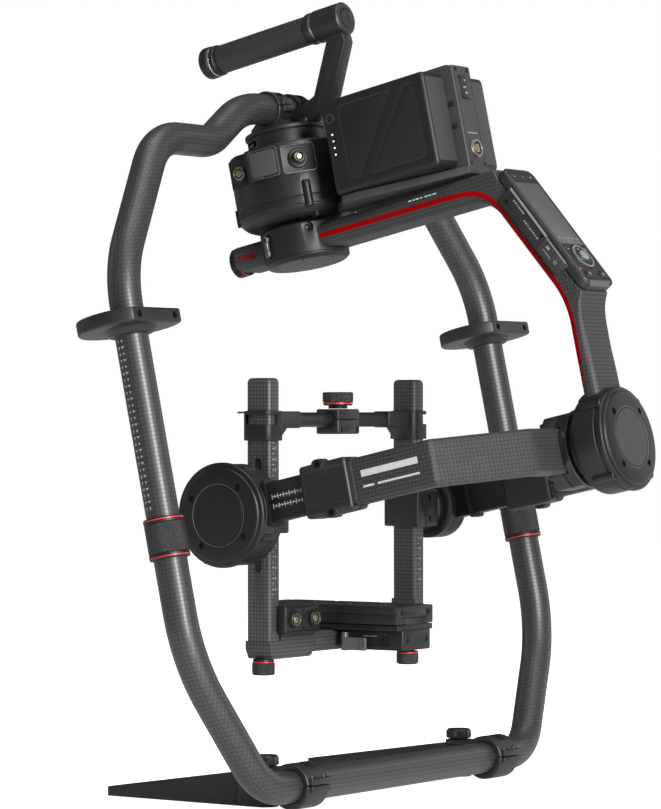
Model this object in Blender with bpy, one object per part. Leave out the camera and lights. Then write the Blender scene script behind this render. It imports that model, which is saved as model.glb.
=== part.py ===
"""Ring-grip three-axis camera gimbal.

Lengths are millimetres and are scaled to metres when a mesh is made.
+X is the operator's right, +Y forward (the way the lens looks), +Z up; the world origin
is on the floor under the middle of the rig.
Lean frame: origin on the bottom tube's axis, turned forward about X by LEAN degrees.  It
holds the ring, pan stage, both arms and the roll and tilt motors.
Level frame: upright, origin on the floor under the bottom tube.  It holds the camera
cage and the feet.
"""

import math

import bmesh
import bpy
from mathutils import Matrix, Vector

for old in list(bpy.data.objects):
    bpy.data.objects.remove(old, do_unlink=True)

# ---------------------------------------------------------------- driving dimensions
LEAN = 12.18            # forward lean of the ring, degrees
BAR_H = 21.0            # height of the bottom tube's axis over the floor
ORIGIN_Y = 16.31        # how far forward of the rig's middle the bottom tube lies
GAP = 0.4               # running gap between neighbouring pieces
SLIDE_FIT = 0.35        # clearance round the sliding arm sections
SIDES = (("left", -1), ("right", 1))

TUBE_R, TUBE_IN = 15.0, 13.0      # ring tube radii
BORE_R = TUBE_R + 0.5             # bore of whatever sits on the tube
RING_X = 300.0                    # ring side tube, from the middle
RING_SPLIT = 231.5                # height at which the two ring halves meet
TOP_Z = 641.0                     # height of the ring tube under the clamps

PAN_R, PAN_LO, PAN_HI = 58.5, 529.0, 601.0      # pan motor housing
DRUM_R, DRUM_HI = 37.4, 621.5                   # drum and plate above it
HUB_R, HUB_LO, HUB_HI = 41.0, 490.0, 525.6      # turning hub under it
HANDLE_Z = 709.0                                # top handle axis

ARM_W = 48.0                      # pan arm width
ARM_Z = 510.0                     # height of the pan arm's level part
ARM_DROP_Y = -291.2               # path of the pan arm's upright part
DIAG_START = (-232.3, 477.8)      # a point on the inner line of the diagonal (y, z)
DIAG_DOWN = (-0.469, -0.883)      # direction down the diagonal (y, z)
DIAG_OUT = (-0.883, 0.469)        # outward normal of the diagonal (y, z)

MOTOR_R = 46.5                    # roll and tilt motor radius
ROLL_Z = 254.5                    # roll axis height
ROLL_BACK = -303.0                # rear face of the roll housing (y)
YOKE_X, YOKE_Y = 172.0, -246.0    # yoke side arm and back bar positions
YOKE_T, YOKE_H = 20.0, 42.0       # yoke section
EXT_T, EXT_H = 17.0, 36.4         # sliding extension section

TILT_Y, TILT_Z = 16.7, 252.8      # tilt axis in the lean frame
TILT_OUTER = -186.0               # outer face of the tilt housing (x)

UP_X, UP_W, UP_D = 123.3, 18.0, 24.0            # cage upright: position and section
UP_LO, UP_HI = 134.0, 390.0

# tilt axis in the level frame
LEAN_COS, LEAN_SIN = math.cos(math.radians(LEAN)), math.sin(math.radians(LEAN))
AXIS_Y = TILT_Y * LEAN_COS + TILT_Z * LEAN_SIN
AXIS_Z = BAR_H - TILT_Y * LEAN_SIN + TILT_Z * LEAN_COS


# ---------------------------------------------------------------- frames and materials
def add_frame(name, height, lean):
    frame = bpy.data.objects.new(name, None)
    bpy.context.scene.collection.objects.link(frame)
    frame.location = (0, ORIGIN_Y / 1000, height / 1000)
    frame.rotation_euler = (math.radians(-lean), 0, 0)
    return frame


LEANING = add_frame("lean_frame", height=BAR_H, lean=LEAN)
LEVEL = add_frame("level_frame", height=0, lean=0)
MATERIALS = {}


def add_material(name, colour, roughness, metallic=0.0):
    mat = bpy.data.materials.new(name)
    mat.use_nodes = True
    shader = mat.node_tree.nodes["Principled BSDF"]
    shader.inputs["Base Color"].default_value = (*colour, 1)
    shader.inputs["Roughness"].default_value = roughness
    shader.inputs["Metallic"].default_value = metallic
    mat.diffuse_color = (*colour, 1)
    MATERIALS[name] = mat


add_material("carbon", colour=(0.03, 0.03, 0.032), roughness=0.38)
add_material("anodised", colour=(0.035, 0.035, 0.037), roughness=0.45, metallic=0.6)
add_material("satin", colour=(0.05, 0.05, 0.052), roughness=0.55, metallic=0.2)
add_material("rubber", colour=(0.025, 0.025, 0.026), roughness=0.8)
add_material("plastic", colour=(0.04, 0.04, 0.042), roughness=0.5)
add_material("knurl", colour=(0.045, 0.045, 0.048), roughness=0.4, metallic=0.7)
add_material("alloy", colour=(0.30, 0.30, 0.31), roughness=0.35, metallic=1.0)


# ---------------------------------------------------------------- spans and 2-D outlines
def around(middle, half):
    return (middle - half, middle + half)


def span(sign, near, far):
    """Low and high x of a piece lying between near and far on one side."""
    return tuple(sorted((sign * near, sign * far)))


def mirrored(half):
    """Continue half an outline through its mirror image in the first coordinate."""
    return half + [(-x, other) for x, other in reversed(half)]


def circle(r, n):
    return [(r * math.cos(2 * math.pi * i / n), r * math.sin(2 * math.pi * i / n))
            for i in range(n)]


def polar(centre, r, degrees):
    angle = math.radians(degrees)
    return (centre[0] + r * math.cos(angle), centre[1] + r * math.sin(angle))


def arc_points(centre, r, start, turn, n):
    return [polar(centre, r, start + turn * i / n) for i in range(n + 1)]


def rounded(width, up, down, r_up, r_down, n):
    """Rectangle reaching up and down from the origin, with a corner radius for each end."""
    points = []
    for k, (sx, sy) in enumerate(((1, 1), (-1, 1), (-1, -1), (1, -1))):
        r, reach = (r_up, up) if sy > 0 else (r_down, down)
        points += arc_points((sx * (width / 2 - r), sy * (reach - r)), r, 90 * k, 90, n)
    return points


def filleted(corners, radii, turn):
    """Follow 2-D corners, rounding each inner one in steps of about turn degrees.

    Gives (point, tangent) stations.
    """
    stations = []
    last = len(corners) - 1
    for i, corner in enumerate(corners):
        corner = Vector(corner)
        if i in (0, last):
            other = Vector(corners[1 if i == 0 else last - 1])
            tangent = (other - corner) if i == 0 else (corner - other)
            stations.append((corner, tangent.normalized()))
            continue
        before = (corner - Vector(corners[i - 1])).normalized()
        after = (Vector(corners[i + 1]) - corner).normalized()
        bend = before.angle(after)
        cut_back = radii[i] * math.tan(bend / 2)
        hand = 1 if before.x * after.y - before.y * after.x > 0 else -1
        normal = Vector((-before.y, before.x)) * hand
        centre = corner - before * cut_back + normal * radii[i]
        n = max(2, round(math.degrees(bend) / turn))
        for k in range(n + 1):
            angle = bend * k / n
            tangent = before * math.cos(angle) + normal * math.sin(angle)
            radial = normal * math.cos(angle) - before * math.sin(angle)
            stations.append((centre - radial * radii[i], tangent))
    return stations


def distance_to_line(line, start, direction):
    """Distance from start along direction to a line of 2-D points, 60 at most."""
    best = 60.0
    for (ax, ay), (bx, by) in zip(line, line[1:]):
        dx, dy = bx - ax, by - ay
        det = dx * direction.y - dy * direction.x
        if abs(det) < 1e-9:
            continue
        distance = (dx * (ay - start.y) - dy * (ax - start.x)) / det
        along = (direction.x * (ay - start.y) - direction.y * (ax - start.x)) / det
        if distance > 0 and -1e-4 <= along <= 1.0001:
            best = min(best, distance)
    return best


# ---------------------------------------------------------------- meshes
def to3(axis, a, b, h):
    """A point from two cross coordinates, in x y z order, and one along the axis."""
    return {"x": (h, a, b), "y": (a, h, b), "z": (a, b, h)}[axis]


def lathe(profile, axis, centre, segs, start=0.0, turn=360.0):
    """Turn (radius, height) points about an axis through centre.

    A profile that starts and ends on the axis is solid; any other is closed on itself.
    """
    bm = bmesh.new()
    full = abs(turn - 360) < 1e-6
    count = segs if full else segs + 1
    rings = []
    for r, h in profile:
        if r < 1e-6:
            rings.append([bm.verts.new(to3(axis, *centre, h))])
            continue
        rings.append([bm.verts.new(to3(axis, *polar(centre, r, start + turn * i / segs), h))
                      for i in range(count)])
    solid = len(rings[0]) == 1 and len(rings[-1]) == 1
    pairs = list(zip(rings, rings[1:])) + ([] if solid else [(rings[-1], rings[0])])
    for lo, hi in pairs:
        for i in range(count if full else count - 1):
            j = (i + 1) % count
            if len(lo) == 1:
                bm.faces.new((lo[0], hi[i], hi[j]))
            elif len(hi) == 1:
                bm.faces.new((lo[i], lo[j], hi[0]))
            else:
                bm.faces.new((lo[i], lo[j], hi[j], hi[i]))
    if not full:
        for k in (0, count - 1):
            bm.faces.new([ring[k] for ring in rings])
    return bm


def rod(r, lo, hi, axis, centre, segs):
    return lathe([(0, lo), (r, lo), (r, hi), (0, hi)], axis, centre, segs)


def prism(outline, axis, lo, hi, bevel=0.0, segs=1):
    """Extrude a 2-D outline along an axis; bevel softens every sharp edge."""
    bm = bmesh.new()
    base = bm.faces.new([bm.verts.new(to3(axis, a, b, lo)) for a, b in outline])
    out = bmesh.ops.extrude_face_region(bm, geom=[base])
    moved = [v for v in out["geom"] if isinstance(v, bmesh.types.BMVert)]
    bmesh.ops.translate(bm, verts=moved, vec=Vector(to3(axis, 0, 0, hi - lo)))
    bmesh.ops.recalc_face_normals(bm, faces=bm.faces)
    if bevel:
        sharp = [e for e in bm.edges if e.calc_face_angle(0) > math.radians(25)]
        bmesh.ops.bevel(bm, geom=sharp, offset=bevel, segments=segs, profile=0.5,
                        affect="EDGES", clamp_overlap=True)
    return bm


def box(xs, ys, zs, bevel=0.0, segs=1):
    """A block from its (low, high) span on each axis."""
    outline = [(xs[0], ys[0]), (xs[1], ys[0]), (xs[1], ys[1]), (xs[0], ys[1])]
    return prism(outline, "z", *zs, bevel, segs)


def turned(bm, degrees):
    """Turn a mesh about Z."""
    rotation = Matrix.Rotation(math.radians(degrees), 3, "Z")
    bmesh.ops.rotate(bm, verts=bm.verts, cent=(0, 0, 0), matrix=rotation)
    return bm


def sweep(stations, place, outers, inner=None):
    """Join one outer section per station; inner, if given, is the bore.

    place(point, tangent, a, b) gives the 3-D point of a section's (a, b).
    """
    bm = bmesh.new()
    loops_out, loops_in = [], []
    for (point, tangent), outer in zip(stations, outers):
        loops_out.append([bm.verts.new(place(point, tangent, a, b)) for a, b in outer])
        if inner:
            loops_in.append([bm.verts.new(place(point, tangent, a, b)) for a, b in inner])
    n = len(loops_out[0])
    bands = list(zip(loops_out, loops_out[1:])) + list(zip(loops_in, loops_in[1:]))
    ends = (0, len(stations) - 1)
    if inner:
        bands += [(loops_out[k], loops_in[k]) for k in ends]
    for lo, hi in bands:
        for i in range(n):
            j = (i + 1) % n
            bm.faces.new((lo[i], lo[j], hi[j], hi[i]))
    if not inner:
        for k in ends:
            bm.faces.new(loops_out[k])
    return bm


# Places for sweep: a runs square to the path's plane, b along its in-plane normal.
def in_xz(point, tangent, a, b):
    return (point.x - tangent.y * b, a, point.y + tangent.x * b)


def in_yz(point, tangent, a, b):
    return (a, point.x - tangent.y * b, point.y + tangent.x * b)


def in_roll_plane(point, tangent, a, b):
    return (point.x - tangent.y * b, point.y + tangent.x * b, ROLL_Z + a)


# ---------------------------------------------------------------- objects
def add_piece(name, bm, mat, origin=(0, 0, 0), frame=LEANING):
    """Make an object from a millimetre mesh, with its origin at the given point."""
    bmesh.ops.recalc_face_normals(bm, faces=bm.faces)
    bmesh.ops.translate(bm, verts=bm.verts, vec=-Vector(origin))
    bmesh.ops.scale(bm, verts=bm.verts, vec=(0.001, 0.001, 0.001))
    mesh = bpy.data.meshes.new(name)
    bm.to_mesh(mesh)
    bm.free()
    if mat:
        mesh.materials.append(MATERIALS[mat])
    mesh.shade_smooth()
    mesh.set_sharp_from_angle(angle=math.radians(35))
    piece = bpy.data.objects.new(name, mesh)
    bpy.context.scene.collection.objects.link(piece)
    piece.parent = frame
    piece.location = Vector(origin) / 1000
    return piece


def combine(piece, bm, operation):
    """Add a boolean whose hidden tool stands in the piece's own frame."""
    k = len(piece.modifiers)
    tool = add_piece(f"tool_{piece.name}_{k}", bm, None, frame=piece.parent)
    tool.hide_render = True
    tool.display_type = "WIRE"
    mod = piece.modifiers.new(f"{operation.lower()}_{k}", "BOOLEAN")
    mod.operation = operation
    mod.solver = "EXACT"
    mod.object = tool


def join(piece, bm):
    combine(piece, bm, "UNION")


def cut(piece, bm):
    combine(piece, bm, "DIFFERENCE")


# ---------------------------------------------------------------- ring
# Half paths (x, z) from right to middle, with the radius at each corner.
LOWER_HALF = [(RING_X, RING_SPLIT - GAP / 2), (RING_X, 120.5), (224.7, 0.0)]
LOWER_RADII = [0, 150, 52]
UPPER_HALF = [(RING_X, RING_SPLIT + GAP / 2), (RING_X, 474.0), (211.1, 603.0),
              (128.0, 603.0), (66.0, TOP_Z)]
UPPER_RADII = [0, 109, 62, 50, 100]


def build_ring_tube(name, half, radii, turn):
    stations = filleted(mirrored(half), radii + radii[::-1], turn)
    outers = [circle(TUBE_R, 16)] * len(stations)
    add_piece(name, sweep(stations, in_xz, outers, circle(TUBE_IN, 16)), "carbon")


def build_lock_collar(side, sign):
    """Screwed collar that locks the two halves of the ring together."""
    x = sign * RING_X
    lo, hi = 213.0, 250.0
    profile = [(BORE_R, lo), (17.4, lo), (18.3, lo + 1), (18.3, hi - 1), (17.4, hi), (BORE_R, hi)]
    add_piece(f"lock_collar_{side}", lathe(profile, "z", (x, 0), 24), "knurl",
              (x, 0, (lo + hi) / 2))


def build_grip_guard(side, sign):
    """Hand guard disc, flat at the back, with a cone under it and two holes in the flat."""
    x = sign * RING_X
    z, thickness, radius, flat = 427.0, 13.0, 47.0, 32.0
    half_flat = math.degrees(math.acos(flat / radius))
    outline = arc_points((x, 0), radius, half_flat - 90, 360 - 2 * half_flat, 26)
    lo, hi = around(z, thickness / 2)
    guard = add_piece(f"grip_guard_{side}", prism(outline, "z", lo, hi, 1.6), "satin", (x, 0, z))
    cone = [(0, lo - 6), (20, lo - 6), (26, lo + 2), (0, lo + 2)]
    join(guard, lathe(cone, "z", (x, 0), 24))
    cut(guard, rod(BORE_R, lo - 9, hi + 3, "z", (x, 0), 20))
    for hole_x in (-25.7, 25.7):
        cut(guard, rod(3.3, -flat - 2, -flat + 12, "y", (x + hole_x, z), 10))


# Foot under a top clamp (y, z), filling in under the bore.
CLAMP_FOOT = [(-20, DRUM_HI + GAP), (20, DRUM_HI + GAP), (20, 625.4), (13.5, 630), (9, 627.6),
              (0, 624.5), (-9, 627.6), (-13.5, 630), (-20, 625.4)]


def build_top_clamp(side, sign):
    """Clamp on the ring's top tube, split at the back."""
    lo, hi = span(sign, 8.0, 28.0)
    profile = [(BORE_R, lo), (17.2, lo), (18, lo + 0.8), (18, hi - 0.8), (17.2, hi), (BORE_R, hi)]
    clamp = add_piece(f"top_clamp_{side}", lathe(profile, "x", (0, TOP_Z), 28), "satin")
    join(clamp, prism(CLAMP_FOOT, "x", lo + 0.5, hi - 0.5))
    cut(clamp, box((lo - 2, hi + 2), (-22, -12), (TOP_Z + 1, TOP_Z + 2.4)))


# ---------------------------------------------------------------- pan base
# Profiles (radius, z).
DRUM_PROFILE = [(0, PAN_HI + GAP), (DRUM_R, PAN_HI + GAP), (DRUM_R, 617), (39, 617),
                (39, 620.7), (38.2, DRUM_HI), (0, DRUM_HI)]
PAN_PROFILE = [(0, PAN_LO), (47, PAN_LO), (52, PAN_LO + 2), (56, PAN_LO + 6.5),
               (PAN_R, PAN_LO + 12), (PAN_R, 546), (57.4, 546.8), (57.4, 549), (PAN_R, 549.8),
               (PAN_R, 599.4), (57, PAN_HI), (0, PAN_HI)]
PORT_COVER_PROFILE = [(59.0, 571.5), (60.4, 571.5), (61.2, 573), (61.2, 594), (60.4, 595.5),
                      (59.0, 595.5)]


def build_pan_drum():
    add_piece("pan_top_drum", lathe(DRUM_PROFILE, "z", (0, 0), 36), "anodised")


def build_pan_housing():
    housing = add_piece("pan_motor_housing", lathe(PAN_PROFILE, "z", (0, 0), 40), "anodised")
    # block at the front left, with the housing cut flat beside it
    join(housing, box((-50, -20), (10, 37.5), (569, 597), 0.8))
    cut(housing, box((-90, -50.02), (12.5, 70), (569.02, 620)))
    # flat recess and small post at the rear left, tab at the front left
    cut(housing, turned(box((52.6, 80), (-14, 14), (568, 598)), 222))
    post = [(0, 541), (4.2, 541), (4.2, 560), (3, 562.5), (0, 562.5)]
    join(housing, turned(lathe(post, "z", (57.6, 0), 12), 227))
    join(housing, turned(box((55, 60.4), (-4.5, 4.5), (537, 553), 0.8), 124))


def build_port_cover():
    """Curved strip on the left of the pan housing."""
    strip = lathe(PORT_COVER_PROFILE, "z", (0, 0), 8, start=175.0, turn=26.0)
    add_piece("port_cover", strip, "rubber")


# ---------------------------------------------------------------- handle
# Side view of the bracket (y, z).
BRACKET_SIDE = [(-16.5, DRUM_HI + GAP), (-17.5, 632), (-20, 638.5), (-34, 640), (-45, 644.5),
                (-70, 692), (-70, HANDLE_Z), (-88, HANDLE_Z), (-90.2, 686), (-66.5, 640),
                (-58, 632), (-36, DRUM_HI + GAP)]
# Profiles about the handle axis (radius, y).
BRACKET_HEAD = [(0, -50.5), (14.6, -50.5), (15.4, -51.4), (15.4, -57), (14.4, -57.4),
                (14.4, -59.6), (16, -60), (16, -90.5), (14.5, -92), (10.5, -92), (10.5, -91.2),
                (0, -91.2)]
HANDLE_TUBE = [(0, -73.4), (11, -73.4), (11, 57.2), (14.4, 57.4), (14.4, 63), (15.2, 63.2),
               (15.8, 64.2), (15.8, 71), (13.4, 75.4), (9, 77), (0, 77)]
HANDLE_GRIP = [(11.4, -50.0), (13.2, -50.0), (13.9, -49), (13.9, 56), (13.2, 56.9),
               (11.4, 56.9)]


def build_handle():
    axis = (0, HANDLE_Z)
    bracket = add_piece("handle_bracket", prism(BRACKET_SIDE, "x", -7.6, 7.6, 0.8), "satin")
    join(bracket, lathe(BRACKET_HEAD, "y", axis, 24))
    cut(bracket, rod(11.4, -74, -40, "y", axis, 20))
    add_piece("handle_tube", lathe(HANDLE_TUBE, "y", axis, 20), "anodised")
    add_piece("handle_grip", lathe(HANDLE_GRIP, "y", axis, 24), "rubber")


# ---------------------------------------------------------------- batteries
# Floor of the bracket from above (x, y).
BATTERY_FLOOR = [(-22, -59.2), (22, -59.2), (32, -70), (50, -83), (50, -100), (18, -206),
                 (-18, -206), (-50, -100), (-50, -83), (-32, -70)]
# Round boss at the back (radius, y).
BATTERY_BOSS = [(0, -203), (9, -203), (9, -207), (7.4, -208.5), (6, -208.5), (6, -206.6),
                (0, -206.6)]
SWITCH_SIDE = [(-208, 599), (-206.4, 610), (-208, 621), (-202, 621), (-202, 599)]   # (y, z)
LEVEL_BUTTON = (-87.5, 607.0)     # battery level button (y, z)


def build_battery_bracket():
    """Floor, and the spine between the two batteries."""
    bracket = add_piece("battery_bracket", prism(BATTERY_FLOOR, "z", 526.6, 534, 0.8), "satin")
    join(bracket, box((-16, 16), (-206, -84), (531, 631), 2.0))
    cut(bracket, box((-7, 7), (-208, -198.5), (598.6, 621.4)))
    join(bracket, lathe(BATTERY_BOSS, "y", (0, 551), 20))


def build_power_switch():
    add_piece("power_switch", prism(SWITCH_SIDE, "x", -6.6, 6.6), "plastic", (0, -203.5, 610))


def build_battery(side, sign):
    body = box(span(sign, 16.5, 53.0), (-196, -83), (535, 625), 3.2, 2)
    battery = add_piece(f"battery_{side}", body, "plastic")
    cut(battery, rod(4.0, *span(sign, 50.4, 56), "x", LEVEL_BUTTON, 16))
    add_piece(f"battery_button_{side}", rod(3.6, *span(sign, 51.4, 53.6), "x", LEVEL_BUTTON, 16),
              "plastic", (sign * 52.6, *LEVEL_BUTTON))


# ---------------------------------------------------------------- feet
FOOT_X = 165.0
SWIVEL_Y = 38       # upright axis on which a foot swivels
# Side view (y, z) of what is taken off the top so that the foot thins to its tip.
FOOT_WEDGE = [(62, 31.02), (215.5, 8.4), (225, 8.0), (225, 60), (62, 60)]
FOOT_KNOB = [(0, 36.6), (5, 36.6), (5, 37.4), (8.2, 37.4), (8.9, 38.2), (8.9, 42), (8, 43),
             (0, 43)]     # (radius, z)


def build_foot_clamp(side, sign):
    """Clamp on the bottom tube, split at the back, with a plate over the foot."""
    x = sign * FOOT_X
    lo, hi = around(x, 17)
    profile = [(BORE_R, lo), (20, lo), (21, lo + 1), (21, hi - 1), (20, hi), (BORE_R, hi)]
    clamp = add_piece(f"foot_clamp_{side}", lathe(profile, "x", (0, BAR_H), 28), "satin",
                      frame=LEVEL)
    plate = [(x - 13, 12.6), (x + 13, 12.6)] + arc_points((x, SWIVEL_Y), 13, 0, 180, 10)
    join(clamp, prism(plate, "z", 31.6, 36.0))
    cut(clamp, box((lo - 2, hi + 2), (-30, -10), (BAR_H + 1, BAR_H + 2.6)))


def build_foot(side, sign):
    """Tapered fin seen from above, thinning to its tip, and its knob."""
    x = sign * FOOT_X
    plan = arc_points((x, SWIVEL_Y), 12, 180, 180, 12)
    plan += [(x + 12, 60), (x + 8, 210), (x + 6, 215), (x - 6, 215), (x - 8, 210), (x - 12, 60)]
    foot = add_piece(f"foot_{side}", prism(plan, "z", 0, 31), "satin", (x, SWIVEL_Y, 0), LEVEL)
    cut(foot, prism(FOOT_WEDGE, "x", *around(x, 30)))
    add_piece(f"foot_knob_{side}", lathe(FOOT_KNOB, "z", (x, SWIVEL_Y), 18), "knurl",
              (x, SWIVEL_Y, 40), LEVEL)


# ---------------------------------------------------------------- pan hub and arm
HUB_PROFILE = [(0, HUB_LO), (37, HUB_LO), (HUB_R, HUB_LO + 2.5), (HUB_R, HUB_HI - 1.5),
               (HUB_R - 1.5, HUB_HI), (22, HUB_HI), (22, PAN_LO - GAP),
               (0, PAN_LO - GAP)]       # (radius, z)
ARM_KNOB = [(0, 59), (4, 59), (4, 68), (13.6, 68), (14.5, 69), (14.5, 80.5), (13.2, 82),
            (0, 82)]                    # (radius, y)
HUB_LEVER = [(-2.6, 499), (2.6, 499), (3, 512), (4, 516), (2.6, 519.4), (-2.6, 519.4),
             (-4, 516), (-3, 512)]      # (y, z) before it is turned round the hub
LEVER_ANGLE = 158.0                     # degrees from +X


def diag(along, out):
    """(y, z) at a distance along the diagonal and out from its inner line."""
    return tuple(start + down * along + normal * out
                 for start, down, normal in zip(DIAG_START, DIAG_DOWN, DIAG_OUT))


def build_pan_hub():
    hub = add_piece("pan_hub", lathe(HUB_PROFILE, "z", (0, 0), 36), "anodised")
    channel = [(a, ARM_Z + b) for a, b in rounded(ARM_W + 0.8, 12.4, 12.4, 9.4, 9.4, 4)]
    cut(hub, prism(channel, "y", -60, 60))
    cut(hub, rod(3.6, -60, -20, "y", (-30, 516), 14))


def arm_bend(centre, radius, angles):
    """Stations of a bend; angles run from straight up towards the rear."""
    stations = []
    for degrees in angles:
        up, rear = math.cos(math.radians(degrees)), math.sin(math.radians(degrees))
        point = Vector((centre[0] - radius * rear, centre[1] + radius * up))
        stations.append((point, Vector((-up, -rear))))
    return stations


# Outer line of the arm (y, z), from front to lower rear end.
ARM_OUTER = [(70, ARM_Z + 12), (-234.8, ARM_Z + 12), diag(-32.4, 21.1), diag(104.5, 21.1),
             (-304.4, 392.4), (-303.0, 387), (-301.6, 381), (-300.8, 375), (-300.5, 368),
             (-300.5, 290)]
# Stations (point, tangent) in (y, z): level part, two bends, upright part.
ARM_STATIONS = [
    (Vector((67.5, ARM_Z)), Vector((-1, 0))),
    (Vector((-96, ARM_Z)), Vector((-1, 0))),
    *arm_bend((-198.9, ARM_Z - 47), 47, (0, 9, 18, 25, 31.3, 34.6, 41, 48, 55, 61.97)),
    *arm_bend((ARM_DROP_Y + 100, 364.4), 100, (61.97, 68, 74.1, 76.1, 81, 85.5, 90)),
    (Vector((ARM_DROP_Y, 338)), Vector((0, -1))),
    (Vector((ARM_DROP_Y, 301.7)), Vector((0, -1))),
]


def arm_section(point, tangent):
    """Round inner corners; the outer corners are tight where the control panel sits."""
    y, z = point
    diag_top, diag_bottom = 483, 389
    if z > ARM_Z - 0.5:
        thickness, r_out = 24.0, 9.0 if y > -97 else 4.0
    elif z > diag_top:
        thickness, r_out = 24.0 - 3.0 * (ARM_Z - z) / (ARM_Z - diag_top), 2.6
    elif z > diag_bottom:
        thickness, r_out = 21.0 - 2.4 * (diag_top - z) / (diag_top - diag_bottom), 2.6
    else:
        thickness, r_out = 18.6, 5.0 if z > 350 else 7.07
    reach = distance_to_line(ARM_OUTER, point, Vector((tangent.y, -tangent.x)))
    r_in = min(9.0, thickness * 0.38)
    return rounded(ARM_W, thickness / 2, reach, r_in, r_out, 4)


def build_pan_arm():
    sections = [arm_section(*station) for station in ARM_STATIONS]
    arm = add_piece("pan_arm", sweep(ARM_STATIONS, in_yz, sections), "carbon")
    cut(arm, rod(4.5, 57, 80, "y", (0, ARM_Z), 16))
    add_piece("pan_arm_knob", lathe(ARM_KNOB, "y", (0, ARM_Z), 24), "knurl", (0, 75, ARM_Z))


def build_hub_lever():
    lever = turned(prism(HUB_LEVER, "x", 41.6, 45.4, 0.6), LEVER_ANGLE)
    add_piece("hub_lever", lever, "alloy", (*polar((0, 0), 43, LEVER_ANGLE), 516))


# ---------------------------------------------------------------- control panel
PANEL_FACE = 31.6       # outer face of the panel, out from the diagonal's inner line
# Side views, (along, out) on the diagonal.
PANEL_SIDE = [(-33, 22), (-33, 27), (-29, PANEL_FACE), (106, PANEL_FACE), (109, 29), (109, 25),
              (104, 21.5), (-26, 21.5)]
PANEL_COVER = [(-13, 24), (-8, 11), (48, 11), (48, 27), (-12, 27)]
PANEL_FLAP = [(48.6, 11), (78, 11), (82, 15), (84, 25), (82, 27), (48.6, 27)]
# Profiles (radius, height over the face).
DIAL = [(0, -1.2), (14, -1.2), (14, 0.8), (12.8, 1.6), (10.4, 1.6), (9.6, 0.9), (7.2, 0.9),
        (6.8, 2.4), (5.6, 3.0), (0, 3.2)]
PANEL_BUTTON = [(0, -1.8), (4.5, -1.8), (4.5, 0.9), (3.9, 1.4), (0, 1.5)]
DIAL_ALONG, BUTTON_ALONG = 76, 97.5


def diag_prism(side_view, lo, hi, bevel):
    return prism([diag(*point) for point in side_view], "x", lo, hi, bevel)


def face_point(along, x=0.0):
    return Vector((x, *diag(along, PANEL_FACE)))


def on_panel(bm, along, x=0.0):
    """Stand a mesh drawn about +Z on the panel's face."""
    normal = Vector((0, *DIAG_OUT)).normalized()
    rotation = Vector((0, 0, 1)).rotation_difference(normal).to_matrix().to_4x4()
    matrix = Matrix.Translation(face_point(along, x)) @ rotation
    bmesh.ops.transform(bm, verts=bm.verts, matrix=matrix)
    return bm


def build_control_panel():
    panel = add_piece("control_panel", diag_prism(PANEL_SIDE, -25.4, 25.4, 0.9), "plastic")
    join(panel, diag_prism(PANEL_COVER, -27.8, -24.5, 0.4))
    cut(panel, on_panel(box((-21.5, 21.5), (-38, 38), (-0.9, 6)), 22))
    cut(panel, on_panel(rod(14.6, -1.6, 6, "z", (0, 0), 32), DIAL_ALONG))
    add_piece("panel_dial", on_panel(lathe(DIAL, "z", (0, 0), 32), DIAL_ALONG), "alloy",
              face_point(DIAL_ALONG))
    for side, sign in SIDES:
        place = (BUTTON_ALONG, sign * 12)
        cut(panel, on_panel(rod(5.0, -4, 6, "z", (0, 0), 20), *place))
        button = on_panel(lathe(PANEL_BUTTON, "z", (0, 0), 20), *place)
        add_piece(f"panel_button_{side}", button, "plastic", face_point(*place))
    add_piece("panel_port_flap", diag_prism(PANEL_FLAP, -28.2, -25.8, 0.4), "rubber",
              (-28.2, *diag(66, 11)))


# ---------------------------------------------------------------- roll motor
# Profiles about the roll axis (radius, y).
ROLL_PROFILE = [(0, -271.8), (40, -271.8), (44.5, -273.6), (MOTOR_R, -277), (MOTOR_R, -299),
                (45.6, -299.6), (45.6, -301.2), (MOTOR_R, -301.8), (MOTOR_R, ROLL_BACK),
                (0, ROLL_BACK)]
CLAMP_DISC = [(0, -271.4), (31, -271.4), (31, -264.5), (36.5, -263.5), (36.5, -260.5),
              (0, -260.5)]


def join_lugs(housing, axis, centre, angles, start, end):
    """Round lugs along the rim of a motor housing."""
    profile = [(0, start), (1.5, start), (4.2, start - 4), (4.2, end), (0, end)]
    for degrees in angles:
        join(housing, lathe(profile, axis, polar(centre, 45.4, degrees), 12))


def motor_cap(axis, centre, base, rim, face):
    """Stepped cap with a shallow ring groove, from its base to its outer face."""
    profile = [(0, base), (48, base), (48, rim), (46.8, face + 3.6), (45, face + 3.2),
               (43, face + 1), (28, face), (27.4, face + 1), (25.6, face + 1), (25, face),
               (0, face)]
    return lathe(profile, axis, centre, 36)


def build_roll_motor():
    centre = (0, ROLL_Z)
    housing = add_piece("roll_motor_housing", lathe(ROLL_PROFILE, "y", centre, 36), "anodised")
    # block on top, with a socket for the end of the pan arm
    join(housing, box((-27, 27), (-302.9, -278.2), (270, 309), 1.2))
    socket = [(a, ARM_DROP_Y + b) for a, b in rounded(ARM_W + 0.8, 9.8, 9.8, 7.4, 7.4, 4)]
    cut(housing, prism(socket, "z", 301.2, 330))
    join_lugs(housing, "y", centre, (62, 118, 242, 298), -283, ROLL_BACK)
    cap = motor_cap("y", centre, base=ROLL_BACK - GAP, rim=-306.6, face=-312)
    add_piece("roll_motor_cap", cap, "anodised")


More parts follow.
